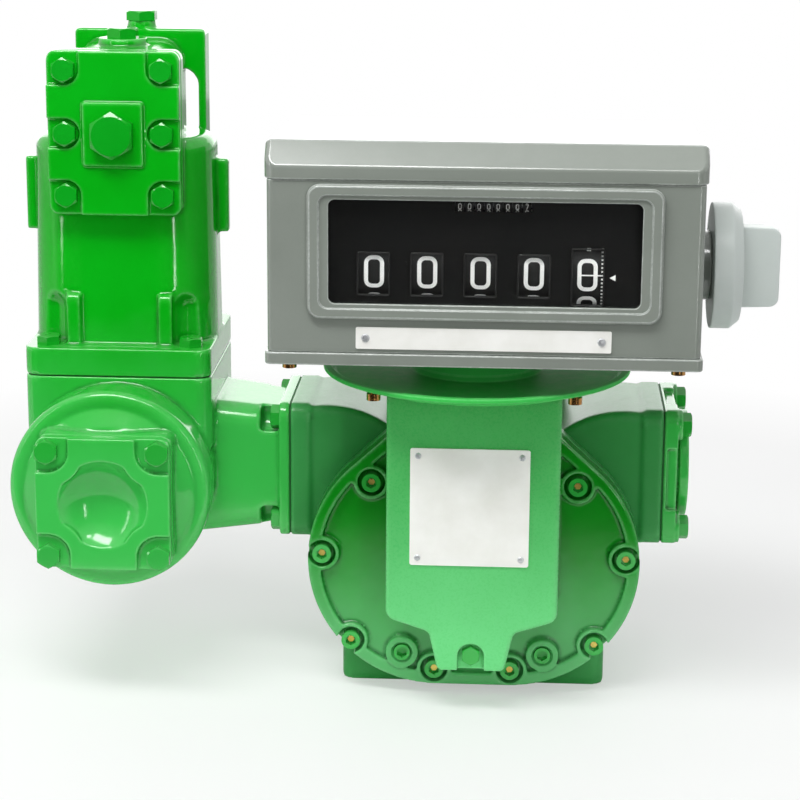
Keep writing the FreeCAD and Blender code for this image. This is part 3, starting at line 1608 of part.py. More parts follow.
# ------------------------------------------------------------- outlet flange
def outlet_flange():
    """Companion flange: square plate, four bolt bosses and a threaded hub."""
    start = port_flange_face + gasket_thickness
    face = start + outlet_thickness
    half = port_flange_size / 2
    z = port_height
    plate = slab("x", start, face, 0, z, half, half, port_flange_corner)
    solids = [plate]
    for u, v in port_spots:
        solids.append(rod("x", outlet_boss_radius, u, v, start + 1, face + outlet_boss_rise))
    hub_end = start + outlet_hub_length
    solids.append(rod("x", outlet_groove_radius, 0, z, face - 1, hub_end))
    solids.append(rod("x", outlet_hub_radius, 0, z, hub_end - outlet_hub_rim, hub_end))
    flange = fused(solids)
    envelope = slab("x", start - 1, hub_end + 1, 0, z, half, half, port_flange_corner)
    flange = flange.common(envelope)
    cuts = [rod("x", pipe_thread_radius, 0, z, start - 1, hub_end + 1)]
    for side in (-1, 1):
        low, high = sorted((side * (half - outlet_recess_depth), side * (half + 1)))
        cuts.append(block(start + 2.0, hub_end, low, high, z - outlet_recess_half_height,
                          z + outlet_recess_half_height))
        cuts.append(block(start + 2.0, hub_end, -outlet_recess_half_height, outlet_recess_half_height,
                          z + low, z + high))
    for u, v in port_spots:
        cuts.append(rod("x", hex_hole_radius, u, v, start - 1, hub_end))
        cuts.append(hexagon("x", face + outlet_boss_rise, hub_end + 1, u, v, hex_across_flats + 3.0))
    return cut_all(flange, cuts)


def outlet_flange_bolts():
    seat = port_flange_face + gasket_thickness + outlet_thickness + outlet_boss_rise
    length = outlet_boss_rise + outlet_thickness + gasket_thickness + port_bolt_depth - 1
    bolts = []
    for u, v in port_spots:
        bolts.append(hex_screw("x", u, v, seat, 1, hex_across_flats, hex_head_height, hex_shank_radius,
                               length))
    return Part.makeCompound(bolts)


def gaskets():
    """Every flat joint ring, each between the two faces it seals."""
    rings = []
    for sign in (-1, 1):
        near, far = sorted((sign * body_half_depth, sign * cover_inner))
        ring = hull_prism(body_circles(1), near, far).cut(hull_prism(chamber_circles(-2), near - 1,
                                                                     far + 1))
        holes = [rod("y", cap_hole_radius, x, z, near - 1, far + 1) for x,
                 z in both_sides(cover_screw_spots)]
        rings.append(cut_all(ring, holes))
        near, far = sorted((sign * port_flange_face, sign * (port_flange_face + gasket_thickness)))
        sheet = slab("x", near, far, 0, port_height, port_flange_size / 2 - 1, port_flange_size / 2 - 1,
                     port_flange_corner)
        holes = [rod("x", hex_hole_radius, u, v, near - 1, far + 1) for u, v in port_spots]
        holes.append(rod("x", pipe_thread_radius, 0, port_height, near - 1, far + 1))
        rings.append(cut_all(sheet, holes))
    sheet = slab("y", mouth_flange_front - gasket_thickness, mouth_flange_front, strainer_x, cover_centre_z,
                 mouth_size / 2 - 1, mouth_size / 2 - 1, mouth_corner)
    holes = [rod("y", hex_hole_radius, u, v, cover_plate_front, drum_front) for u,
             v in strainer_cover_spots]
    holes.append(rod("y", mouth_bore_radius, strainer_x, cover_centre_z, cover_plate_front, drum_front))
    rings.append(cut_all(sheet, holes))
    sheet = strainer_slab(saddle_top, saddle_top + gasket_thickness, saddle_half_width - 1,
                          saddle_half_depth - 1,
                          saddle_corner)
    holes = [rod("z", hex_hole_radius, u, v, saddle_top - 1, saddle_top + 2) for u, v in saddle_spots]
    holes.append(saddle_opening(saddle_top - 1, saddle_top + 2))
    rings.append(cut_all(sheet, holes))
    back = head_flange_front
    sheet = slab("y", back - gasket_thickness, back, strainer_x, head_flange_centre(),
                 head_flange_width / 2 - 1, head_flange_height / 2 - 1, head_flange_corner)
    holes = [rod("y", hex_hole_radius, u, v, back - 3, back + 1) for u, v in valve_spots()]
    holes.append(rod("y", plug_shank_radius + seat_clearance, strainer_x, plug_height_centre(), back - 3,
                     back + 1))
    rings.append(cut_all(sheet, holes))
    return Part.makeCompound(rings)


def all_parts():
    parts = {
        "meter_housing": meter_housing(),
        "front_cover": end_cover(True),
        "rear_cover": end_cover(False),
        "cover_screws": cover_screws(),
        "drain_plugs": drain_plugs(),
        "bearing_plates": bearing_plates(),
        "blocking_rotor": blocking_rotor(),
        "displacement_rotor_left": displacement_rotor("left"),
        "displacement_rotor_right": displacement_rotor("right"),
        "timing_gear_blocking": timing_gear("blocking"),
        "timing_gear_left": timing_gear("left"),
        "timing_gear_right": timing_gear("right"),
        "packing_gland": packing_gland(),
        "gear_case_cover": gear_case_cover(),
        "gear_case_bolt": gear_case_bolt(),
        "nameplate": nameplate(),
        "nameplate_rivets": nameplate_rivets(),
        "drive_bevel_gear": drive_bevel_gear(),
        "vertical_shaft": vertical_shaft(),
        "counter_adapter": counter_adapter(),
        "brass_screws": brass_screws(),
        "register_base": register_base(),
        "register_case": register_case(),
        "register_lid": register_lid(),
        "window_bezel": window_bezel(),
        "window_glass": window_glass(),
        "dial_plate": dial_plate(),
        "wheel_shaft": wheel_shaft(),
        "totalizer_shaft": totalizer_shaft(),
        "reset_knob": reset_knob(),
        "notice_strip": notice_strip(),
        "strip_screws": strip_screws(),
        "strainer_housing": strainer_housing(),
        "strainer_cover": strainer_cover(),
        "strainer_cover_bolts": strainer_cover_bolts(),
        "strainer_basket": strainer_basket(),
        "inlet_joint_bolts": inlet_joint_bolts(),
        "air_eliminator_body": air_eliminator_body(),
        "air_eliminator_bolts": air_eliminator_bolts(),
        "valve_cover": valve_cover(),
        "valve_cover_bolts": valve_cover_bolts(),
        "valve_plug": valve_plug(),
        "vent_plugs": vent_plugs(),
        "air_float": air_float(),
        "outlet_flange": outlet_flange(),
        "outlet_flange_bolts": outlet_flange_bolts(),
        "gaskets": gaskets(),
    }
    for index in range(wheel_count):
        parts["number_wheel_" + str(index + 1)] = number_wheel(index)
    for index in range(total_count):
        parts["totalizer_wheel_" + str(index + 1)] = totalizer_wheel(index)
    return parts


os.makedirs("parts", exist_ok=True)
for node, shape in all_parts().items():
    shape.exportStep("parts/" + node + ".step")
    print(node, len(shape.Solids), round(shape.Volume), shape.isValid())
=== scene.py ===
"""Dresses a three-rotor flow meter: body, register, strainer, air eliminator and outlet flange."""

import json
import logging
import math
from dataclasses import dataclass
from enum import Enum

import bmesh
import bpy
import numpy as np
from mathutils import Matrix, Vector


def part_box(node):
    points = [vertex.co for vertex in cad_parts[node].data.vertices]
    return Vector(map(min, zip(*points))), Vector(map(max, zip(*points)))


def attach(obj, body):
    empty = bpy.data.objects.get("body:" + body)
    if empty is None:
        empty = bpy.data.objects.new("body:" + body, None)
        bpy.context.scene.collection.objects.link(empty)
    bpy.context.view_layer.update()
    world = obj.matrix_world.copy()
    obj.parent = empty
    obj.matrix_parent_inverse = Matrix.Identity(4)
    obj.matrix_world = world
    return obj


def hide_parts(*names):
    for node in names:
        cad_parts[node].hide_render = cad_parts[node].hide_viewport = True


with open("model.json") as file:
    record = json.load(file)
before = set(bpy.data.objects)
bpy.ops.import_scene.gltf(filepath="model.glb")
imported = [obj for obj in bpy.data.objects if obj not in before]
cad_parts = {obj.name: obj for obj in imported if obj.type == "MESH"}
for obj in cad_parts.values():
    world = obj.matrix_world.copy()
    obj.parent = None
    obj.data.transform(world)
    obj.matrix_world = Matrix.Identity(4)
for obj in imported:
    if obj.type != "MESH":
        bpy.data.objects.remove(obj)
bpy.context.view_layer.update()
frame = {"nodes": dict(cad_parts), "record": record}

LOG = logging.getLogger("flow_meter")
MM = 0.001
WELD_REACH = 0.004 * MM
METER = "meter"
WHEELS = 5

Socket = bpy.types.NodeSocket
Mesh = bpy.types.Mesh
Piece = bpy.types.Object
Triple = tuple[float, float, float]
Pair = tuple[float, float]


class Finish(Enum):
    """The finishes that the pieces take."""

    IRON_GREEN = "iron_green"
    ALLOY_GREEN = "alloy_green"
    COVER_GREEN = "cover_green"
    CASE_GREEN = "case_green"
    ADAPTER_GREEN = "adapter_green"
    BOLT_GREEN = "bolt_green"
    INNER_IRON = "inner_iron"
    STEEL = "steel"
    REGISTER_GREY = "register_grey"
    KNOB_GREY = "knob_grey"
    BRASS = "brass"
    ZINC = "zinc"
    WINDOW = "window"
    DIAL_BLACK = "dial_black"
    WHEEL_BLACK = "wheel_black"
    NUMERAL_WHITE = "numeral_white"
    PLATE_WHITE = "plate_white"
    SCREW_STEEL = "screw_steel"
    FLOAT_PLASTIC = "float_plastic"
    GASKET_FIBRE = "gasket_fibre"


# ------------------------------------------------------------------ node graphs
def linear(red: float, green: float, blue: float) -> tuple[float, float, float, float]:
    """Turns a display colour into the linear colour that shaders read.

    Args:
        red: red, 0 to 255.
        green: green, 0 to 255.
        blue: blue, 0 to 255.

    Returns:
        The linear colour with full alpha.
    """
    out = []
    for part in (red, green, blue):
        c = part / 255.0
        out.append(c / 12.92 if c <= 0.04045 else ((c + 0.055) / 1.055) ** 2.4)
    return (out[0], out[1], out[2], 1.0)


class Graph:
    """A node tree with short calls that add and join nodes."""

    def __init__(self, tree: bpy.types.NodeTree) -> None:
        """Takes the tree that the calls build in."""
        self.tree = tree

    def add(self, kind: str, settings: dict | None = None, **inputs: object) -> bpy.types.Node:
        """Adds a node.

        Args:
            kind: the node's type name.
            settings: properties of the node itself.
            inputs: values or output sockets for the inputs, spaces written as underscores.

        Returns:
            The new node.
        """
        node = self.tree.nodes.new(kind)
        for key, value in (settings or {}).items():
            setattr(node, key, value)
        for key, value in inputs.items():
            self.feed(node.inputs[key.replace("_", " ")], value)
        return node

    def feed(self, socket: Socket, value: object) -> None:
        """Joins an output to a socket, or sets the socket's own value.

        Args:
            socket: the input.
            value: an output socket, or a plain value.
        """
        if isinstance(value, Socket):
            self.tree.links.new(value, socket)
        else:
            socket.default_value = value

    def math(self, operation: str, first: object, second: object = 0.0, clamp: bool = False) -> Socket:
        """Adds a Math node.

        Args:
            operation: the node's operation.
            first: first value or socket.
            second: second value or socket.
            clamp: keeps the result between 0 and 1.

        Returns:
            The result socket.
        """
        node = self.add("ShaderNodeMath", {"operation": operation, "use_clamp": clamp})
        self.feed(node.inputs[0], first)
        self.feed(node.inputs[1], second)
        return node.outputs[0]

    def plus(self, first: object, second: object, clamp: bool = False) -> Socket:
        """Adds two values."""
        return self.math("ADD", first, second, clamp)

    def times(self, first: object, second: object, clamp: bool = False) -> Socket:
        """Multiplies two values."""
        return self.math("MULTIPLY", first, second, clamp)

    def blend(self, factor: object, first: object, second: object) -> Socket:
        """Mixes two colours.

        Args:
            factor: share of the second colour.
            first: first colour or socket.
            second: second colour or socket.

        Returns:
            The mixed colour.
        """
        node = self.add("ShaderNodeMix", {"data_type": "RGBA"})
        self.feed(node.inputs[0], factor)
        self.feed(node.inputs[6], first)
        self.feed(node.inputs[7], second)
        return node.outputs[2]

    def spread(self, value: object, low: float, high: float, to_low: float = 0.0,
               to_high: float = 1.0) -> Socket:
        """Maps a range of values to another and clamps it.

        Args:
            value: the value to map.
            low: value that gives to_low.
            high: value that gives to_high.
            to_low: result at low.
            to_high: result at high.

        Returns:
            The mapped value.
        """
        node = self.add("ShaderNodeMapRange")
        for index, item in enumerate((value, low, high, to_low, to_high)):
            self.feed(node.inputs[index], item)
        return node.outputs[0]

    def noise(self, vector: object, scale: object, detail: float = 2.0, rough: float = 0.5) -> Socket:
        """Adds a noise texture and returns its value."""
        node = self.add("ShaderNodeTexNoise", Vector=vector, Scale=scale, Detail=detail, Roughness=rough)
        return node.outputs[0]

    def part(self, vector: object, axis: int) -> Socket:
        """Splits a vector and returns its X, Y or Z by number."""
        return self.add("ShaderNodeSeparateXYZ", Vector=vector).outputs[axis]


class EffectGroups:
    """Shader node groups that several finishes share.

    A scale is that of a noise in metres, and a factor is taken of the scale that a group is given.
    """

    lump_factor = 0.23
    speck_factor = 40.0
    patch_scale = 55.0
    fine_scale = 420.0
    cloud_scale = 90.0

    def __init__(self) -> None:
        """Builds each group once."""
        self.relief = self.make_relief()
        self.marks = self.make_marks()
        self.mottle = self.make_mottle()
        self.dust = self.make_dust()

    @staticmethod
    def start(name: str, inputs: list[tuple[str, str, float]],
              outputs: list[str]) -> tuple[bpy.types.NodeTree, Graph, dict]:
        """Makes an empty group with its sockets.

        Args:
            name: name of the group.
            inputs: name, kind and default of each input.
            outputs: name of each value that it puts out.

        Returns:
            The tree, its graph and the input sockets by name.
        """
        tree = bpy.data.node_groups.new(name, "ShaderNodeTree")
        for label, kind, default in inputs:
            socket = tree.interface.new_socket(name=label, in_out="INPUT", socket_type="NodeSocket" + kind)
            if kind == "Float":
                socket.default_value = default
        for label in outputs:
            tree.interface.new_socket(name=label, in_out="OUTPUT", socket_type="NodeSocketFloat")
        graph = Graph(tree)
        source = tree.nodes.new("NodeGroupInput")
        return tree, graph, {s.name: s for s in source.outputs}

    def make_relief(self) -> bpy.types.NodeTree:
        """Casting grain under paint with a soft orange peel. Height is in millimetres.

        Returns:
            The group.
        """
        tree, graph, source = self.start(
            "paint_relief",
            [("Vector", "Vector", 0), ("Grain Scale", "Float", 700), ("Grain Height", "Float", 0.05),
             ("Peel Scale", "Float", 260), ("Peel Height", "Float", 0.03)],
            ["Height", "Grain"],
        )
        grain = graph.noise(source["Vector"], source["Grain Scale"], 4.0, 0.62)
        lumps = graph.noise(source["Vector"], graph.times(source["Grain Scale"], self.lump_factor), 2.0)
        mixed = graph.plus(graph.times(grain, 0.6), graph.times(lumps, 0.8))
        peel = graph.noise(source["Vector"], source["Peel Scale"], 1.0, 0.4)
        height = graph.plus(graph.times(mixed, source["Grain Height"]),
                            graph.times(peel, source["Peel Height"]))
        graph.add("NodeGroupOutput", Height=height, Grain=grain)
        return tree

    def make_marks(self) -> bpy.types.NodeTree:
        """Broken-up masks for rims, rubbed paint that also serves as painted highlight, and for painted shade
        in hollows.

        Returns:
            The group.
        """
        tree, graph, source = self.start(
            "edge_marks",
            [("Vector", "Vector", 0), ("Rim", "Float", 0), ("Hollow", "Float", 0), ("Wear", "Float", 0.5),
             ("Dirt", "Float", 0.5)],
            ["Worn", "Filled"],
        )
        patches = graph.spread(graph.noise(source["Vector"], self.patch_scale, 3.0, 0.6), 0.32, 0.66)
        fine = graph.spread(graph.noise(source["Vector"], self.fine_scale, 3.0, 0.6), 0.35, 0.65)
        # A floor of 0.4 keeps every rim lighter: a painted edge highlight over the broken-up rubbed wear.
        broken = graph.times(graph.plus(graph.times(patches, 0.6), 0.4),
                             graph.plus(graph.times(fine, 0.5), 0.5))
        worn_and_lit = graph.times(graph.times(source["Rim"], broken), source["Wear"], True)
        # Painted shade: hollows get darker, in cloudy patches.
        cloudy = graph.plus(graph.times(patches, 0.5), 0.5)
        shaded = graph.times(source["Hollow"], cloudy)
        shaded = graph.times(shaded, source["Dirt"], True)
        graph.add("NodeGroupOutput", Worn=worn_and_lit, Filled=shaded)
        return tree

    def make_mottle(self) -> bpy.types.NodeTree:
        """Slow change of tone over a surface, 0 to 1.

        Returns:
            The group.
        """
        tree, graph, source = self.start(
            "tone_mottle", [("Vector", "Vector", 0), ("Scale", "Float", 18), ("Speckle", "Float", 0.2)],
            ["Tone"])
        broad = graph.spread(graph.noise(source["Vector"], source["Scale"], 3.0, 0.55), 0.3, 0.7)
        speck = graph.noise(source["Vector"], graph.times(source["Scale"], self.speck_factor), 2.0)
        offset = graph.times(graph.math("SUBTRACT", speck, 0.5), source["Speckle"])
        graph.add("NodeGroupOutput", Tone=graph.plus(broad, offset, True))
        return tree

    def make_dust(self) -> bpy.types.NodeTree:
        """Fine dust on faces that look upwards.

        Returns:
            The group.
        """
        tree, graph, source = self.start(
            "settled_dust", [("Vector", "Vector", 0), ("Upward", "Float", 0), ("Amount", "Float", 0.2)],
            ["Dust"])
        facing = graph.spread(source["Upward"], 0.55, 1.0)
        cloud = graph.spread(graph.noise(source["Vector"], self.cloud_scale, 4.0, 0.65), 0.38, 0.72)
        dust = graph.times(graph.times(facing, cloud), source["Amount"], True)
        graph.add("NodeGroupOutput", Dust=dust)
        return tree


GROUPS = EffectGroups()


def new_material(name: str) -> tuple[bpy.types.Material, Graph, bpy.types.Node, Socket, Socket]:
    """Starts a material.

    Args:
        name: name of the material.

    Returns:
        The material, its graph, its Principled node, Object coordinates and the object's normal.
    """
    material = bpy.data.materials.new(name)
    material.use_nodes = True
    graph = Graph(material.node_tree)
    shader = material.node_tree.nodes["Principled BSDF"]
    spot = graph.add("ShaderNodeTexCoord")
    return material, graph, shader, spot.outputs["Object"], spot.outputs["Normal"]


def use_group(graph: Graph, tree: bpy.types.NodeTree, **inputs: object) -> bpy.types.Node:
    """Places a node group.

    Args:
        graph: the material's graph.
        tree: the group.
        inputs: its inputs, spaces written as underscores.

    Returns:
        The group node.
    """
    node = graph.tree.nodes.new("ShaderNodeGroup")
    node.node_tree = tree
    for key, value in inputs.items():
        graph.feed(node.inputs[key.replace("_", " ")], value)
    return node


def surface_mark(graph: Graph, name: str) -> Socket:
    """Reads a number stored on the mesh."""
    node = graph.add("ShaderNodeAttribute", {"attribute_name": name})
    return node.outputs["Fac"]


def painted_surface(graph: Graph, spot: Socket, normal: Socket, grain: Triple,
                    tone: Pair, wear: Pair, dust: float) -> dict[str, Socket]:
    """Places the effects that enamel and coatings share.

    Args:
        graph: the material's graph.
        spot: Object coordinates.
        normal: the object's normal.
        grain: scale and height of the grain, and height of the orange peel.
        tone: scale of the mottle and its speckle.
        wear: share of the lighter rims, rubbed paint that also serves as painted highlight, and of the
            painted shade in hollows.
        dust: share of dust on faces that look upwards.

    Returns:
        The Height, Grain, Tone and Dust sockets, and the masks of the lighter rims and of the painted shade
        in hollows.
    """
    relief = use_group(graph, GROUPS.relief, Vector=spot, Grain_Scale=grain[0], Grain_Height=grain[1],
                       Peel_Height=grain[2])
    mottle = use_group(graph, GROUPS.mottle, Vector=spot, Scale=tone[0], Speckle=tone[1])
    marks = use_group(graph, GROUPS.marks, Vector=spot, Rim=surface_mark(graph, "rim"),
                      Hollow=surface_mark(graph, "hollow"), Wear=wear[0], Dirt=wear[1])
    settled_dust = use_group(graph, GROUPS.dust, Vector=spot, Upward=graph.part(normal, 2), Amount=dust)
    return {socket.name: socket for node in (relief, mottle, marks, settled_dust) for socket in node.outputs}


def finish_shader(graph: Graph, shader: bpy.types.Node, colour: Socket, rough: Socket,
                  height: Socket) -> None:
    """Feeds a shader its colour, roughness and bump.

    Args:
        graph: the material's graph.
        shader: its Principled node.
        colour: base colour.
        rough: roughness.
        height: bump height in millimetres.
    """
    graph.feed(shader.inputs["Base Color"], colour)
    graph.feed(shader.inputs["Roughness"], rough)
    bump = graph.add("ShaderNodeBump", Strength=1.0, Distance=MM, Height=height)
    graph.feed(shader.inputs["Normal"], bump.outputs[0])


@dataclass(frozen=True)
class Enamel:
    """Gloss paint over a casting. Its pale rims are rubbed paint that also serves as painted highlight, its
    hollows take painted shade, and a painted reflection of the pale floor may lighten its lower part.
    """

    colour: Triple
    warm: Triple
    # The pale colour lightens the rims as rubbed paint and painted highlight; the deep colour is painted
    # shade in hollows.
    pale: Triple
    deep: Triple
    roughness: float = 0.25
    grain_scale: float = 700.0
    grain_height: float = 0.05
    peel_height: float = 0.035
    wear: float = 0.6
    dust: float = 0.12
    # The low colour and the values that follow lighten the lower part: a painted reflection of the pale
    # floor.
    low: Triple = (120, 200, 130)
    lower_sheen_from: float = 0.0
    lower_sheen_to: float = 0.0
    lower_sheen_share: float = 0.0
    lower_sheen_noise: float = 22.0
    lower_sheen_ripple: float = 0.05
    specular: float = 0.4
    tone: Pair = (16.0, 0.25)
    # Strength of the painted shade in hollows.
    hollow_shade: float = 0.8
    rough_spread: float = 0.14
    dust_colour: Triple = (196, 206, 190)

    def make(self, name: str) -> bpy.types.Material:
        """Builds the material.

        Args:
            name: name of the material.

        Returns:
            The material.
        """
        material, graph, shader, spot, normal = new_material(name)
        grain = (self.grain_scale, self.grain_height, self.peel_height)
        surface = painted_surface(graph, spot, normal, grain, self.tone, (self.wear, self.hollow_shade), self.dust)
        colour = graph.blend(surface["Tone"], linear(*self.colour), linear(*self.warm))
        # Painted light: lighter towards the bottom, as a painted reflection of the pale floor, with a
        # wandering edge.
        if self.lower_sheen_share:
            wander = graph.math("SUBTRACT", graph.noise(spot, self.lower_sheen_noise, 3.0), 0.5)
            level = graph.plus(graph.part(spot, 2), graph.times(wander, self.lower_sheen_ripple))
            lower_sheen = graph.spread(level, self.lower_sheen_from, self.lower_sheen_to, 0.0, self.lower_sheen_share)
            colour = graph.blend(lower_sheen, colour, linear(*self.low))
        # Lighter rims, rubbed paint and painted highlight; then painted shade in hollows.
        colour = graph.blend(surface["Worn"], colour, linear(*self.pale))
        colour = graph.blend(surface["Filled"], colour, linear(*self.deep))
        colour = graph.blend(surface["Dust"], colour, linear(*self.dust_colour))
        least = self.roughness - self.rough_spread / 2
        rough = graph.plus(graph.times(surface["Grain"], self.rough_spread), least)
        rough = graph.plus(rough, graph.times(surface["Dust"], 0.5))
        shader.inputs["Specular IOR Level"].default_value = self.specular
        finish_shader(graph, shader, colour, rough, surface["Height"])
        return material


@dataclass(frozen=True)
class Metal:
    """Bare metal with fine lay marks from machining."""

    colour: Triple
    dull: Triple
    roughness: float = 0.3
    lay: Triple = (1.0, 1.0, 1.0)
    scale: float = 900.0
    height: float = 0.01
    tone: Pair = (45.0, 0.4)
    rough_spread: float = 0.22
    rough_drop: float = 0.1

    def make(self, name: str) -> bpy.types.Material:
        """Builds the material.

        Args:
            name: name of the material.

        Returns:
            The material.
        """
        material, graph, shader, spot, _ = new_material(name)
        mapping = graph.add("ShaderNodeMapping", Vector=spot, Scale=self.lay)
        lay = graph.noise(mapping.outputs[0], self.scale, 3.0, 0.6)
        tone = use_group(graph, GROUPS.mottle, Vector=spot, Scale=self.tone[0],
                         Speckle=self.tone[1]).outputs[0]
        colour = graph.blend(tone, linear(*self.colour), linear(*self.dull))
        shader.inputs["Metallic"].default_value = 1.0
        rough = graph.plus(graph.times(lay, self.rough_spread), self.roughness - self.rough_drop)
        finish_shader(graph, shader, colour, rough, graph.times(lay, self.height))
        return material


@dataclass(frozen=True)
class Coating:
    """Plastic, ink, fibre or stove enamel: a non-metal with its own grain."""

    colour: Triple
    other: Triple
    worn_and_lit: Triple
    roughness: float = 0.4
    grain_scale: float = 900.0
    grain_height: float = 0.02
    wear: float = 0.5
    dust: float = 0.1
    mottle_scale: float = 14.0
    speckle: float = 0.35
    specular: float = 0.5
    rough_spread: float = 0.16
    dust_colour: Triple = (205, 205, 200)

    def make(self, name: str) -> bpy.types.Material:
        """Builds the material.

        Args:
            name: name of the material.

        Returns:
            The material.
        """
        material, graph, shader, spot, normal = new_material(name)
        grain = (self.grain_scale, self.grain_height, self.grain_height * 0.5)
        tone = (self.mottle_scale, self.speckle)
        surface = painted_surface(graph, spot, normal, grain, tone, (self.wear, 0.0), self.dust)
        colour = graph.blend(surface["Tone"], linear(*self.colour), linear(*self.other))
        # Lighter rims: rubbed coating that also serves as painted highlight.
        colour = graph.blend(surface["Worn"], colour, linear(*self.worn_and_lit))
        colour = graph.blend(surface["Dust"], colour, linear(*self.dust_colour))
        least = self.roughness - self.rough_spread / 2
        rough = graph.plus(graph.times(surface["Grain"], self.rough_spread), least)
        shader.inputs["Specular IOR Level"].default_value = self.specular
        finish_shader(graph, shader, colour, rough, surface["Height"])
        return material


@dataclass(frozen=True)
class ClearPane:
    """Clear window glass with faint wipe marks; lamps shine through it."""

    tint: tuple[float, float, float, float] = (0.97, 0.985, 0.98, 1.0)
    refraction: float = 1.45
    wipe_stretch: Triple = (1.0, 1.0, 4.0)
    wipe_turn: Triple = (0.0, 0.5, 0.0)
    wipe_scale: float = 30.0
    wipe_rough: float = 0.05

    def make(self, name: str) -> bpy.types.Material:
        """Builds the material.

        Args:
            name: name of the material.

        Returns:
            The material.
        """
        material, graph, shader, spot, _ = new_material(name)
        shader.inputs["Base Color"].default_value = self.tint
        shader.inputs["Transmission Weight"].default_value = 1.0
        shader.inputs["IOR"].default_value = self.refraction
        mapping = graph.add("ShaderNodeMapping", Vector=spot, Scale=self.wipe_stretch,
                            Rotation=self.wipe_turn)
        wipes = graph.spread(graph.noise(mapping.outputs[0], self.wipe_scale, 4.0, 0.6), 0.5, 0.8, 0.0,
                             self.wipe_rough)
        graph.feed(shader.inputs["Roughness"], wipes)
        clear = graph.add("ShaderNodeBsdfTransparent")
        rays = graph.add("ShaderNodeLightPath")
        mix = graph.add("ShaderNodeMixShader")
        graph.feed(mix.inputs[0], rays.outputs["Is Shadow Ray"])
        graph.feed(mix.inputs[1], shader.outputs[0])
        graph.feed(mix.inputs[2], clear.outputs[0])
        graph.feed(material.node_tree.nodes["Material Output"].inputs["Surface"], mix.outputs[0])
        return material


# In the enamels, the pale colour lights the rims as painted highlight and wear, the deep colour is painted
# shade in hollows, and the low colour lightens the lower part as a painted reflection of the pale floor.
FINISHES = {
    Finish.IRON_GREEN: Enamel((50, 152, 70), (60, 160, 80), (124, 208, 138), (4, 58, 22), roughness=0.3,
                              grain_height=0.06, wear=0.5, specular=0.34),
    Finish.COVER_GREEN: Enamel((0, 136, 12), (4, 146, 22), (124, 208, 138), (0, 44, 14), roughness=0.14,
                               grain_height=0.02, wear=0.6, low=(96, 186, 114), lower_sheen_from=0.108,
                               lower_sheen_to=0.04, lower_sheen_share=0.8, specular=0.5, peel_height=0.02),
    Finish.ALLOY_GREEN: Enamel((0, 172, 14), (2, 182, 22), (140, 234, 150), (0, 66, 10), roughness=0.11,
                               grain_height=0.018, peel_height=0.018, wear=0.42, low=(74, 200, 96),
                               lower_sheen_from=0.245, lower_sheen_to=0.165, lower_sheen_share=0.7, specular=0.62),
    Finish.CASE_GREEN: Enamel((72, 178, 90), (82, 188, 100), (150, 228, 160), (16, 92, 38),
                              roughness=0.28, grain_height=0.035, wear=0.6, low=(112, 222, 136),
                              lower_sheen_from=0.15, lower_sheen_to=0.05, lower_sheen_share=0.9, specular=0.3),
    # The adapter's lower rim is lightened as a painted highlight.
    Finish.ADAPTER_GREEN: Enamel((14, 190, 28), (24, 198, 38), (120, 214, 134), (10, 84, 26),
                                 roughness=0.6, grain_height=0.05, wear=0.5, low=(70, 196, 92),
                                 lower_sheen_from=0.262, lower_sheen_to=0.25, lower_sheen_share=0.8, specular=0.12),
    Finish.BOLT_GREEN: Enamel((4, 160, 24), (12, 170, 34), (150, 232, 160), (0, 58, 14), roughness=0.1,
                              grain_height=0.01, peel_height=0.018, wear=0.95, low=(72, 184, 92),
                              lower_sheen_from=0.24, lower_sheen_to=0.12, lower_sheen_share=0.55, specular=0.6),
    Finish.INNER_IRON: Metal((150, 150, 152), (118, 118, 120), 0.38, (1, 0.2, 1), 900, 0.02),
    Finish.STEEL: Metal((200, 202, 206), (160, 162, 166), 0.28, (6, 1, 6), 500, 0.008),
    Finish.REGISTER_GREY: Coating((133, 140, 132), (140, 147, 139), (196, 202, 198), roughness=0.17,
                                  grain_scale=1100.0, grain_height=0.01, wear=0.8, specular=0.85),
    Finish.KNOB_GREY: Coating((198, 207, 203), (205, 213, 209), (214, 220, 220), roughness=0.38,
                              grain_scale=1500.0, grain_height=0.008, wear=0.4),
    Finish.BRASS: Metal((206, 158, 96), (176, 124, 68), 0.24, (1, 1, 1), 1200, 0.01),
    Finish.ZINC: Metal((240, 214, 120), (206, 172, 80), 0.3, (1, 1, 1), 1200, 0.01),
    Finish.WINDOW: ClearPane(),
    Finish.DIAL_BLACK: Coating((4, 6, 5), (10, 9, 8), (34, 34, 36), roughness=0.5, grain_scale=1300.0,
                               grain_height=0.002, wear=0.4, dust=0.02, specular=0.2),
    Finish.WHEEL_BLACK: Coating((24, 25, 24), (34, 33, 32), (96, 98, 98), roughness=0.36,
                                grain_scale=1600.0, grain_height=0.004, wear=0.8, dust=0.03,
                                specular=0.4),
    Finish.NUMERAL_WHITE: Coating((254, 254, 252), (246, 246, 242), (255, 255, 255), roughness=0.5,
                                  grain_scale=1800.0, grain_height=0.004, wear=0.2, dust=0.0),
    Finish.PLATE_WHITE: Coating((250, 250, 246), (238, 238, 232), (250, 250, 250), roughness=0.32,
                                grain_scale=1700.0, grain_height=0.006, wear=0.4, mottle_scale=40.0),
    Finish.SCREW_STEEL: Metal((236, 238, 240), (206, 208, 212), 0.5, (1, 1, 1), 1400, 0.01),
    Finish.FLOAT_PLASTIC: Coating((206, 200, 176), (196, 188, 162), (220, 216, 200)),
    Finish.GASKET_FIBRE: Coating((10, 88, 26), (18, 98, 34), (80, 120, 84), roughness=0.7,
                                 grain_scale=1500.0, grain_height=0.05),
}
MATERIALS = {finish: recipe.make(finish.value) for finish, recipe in FINISHES.items()}


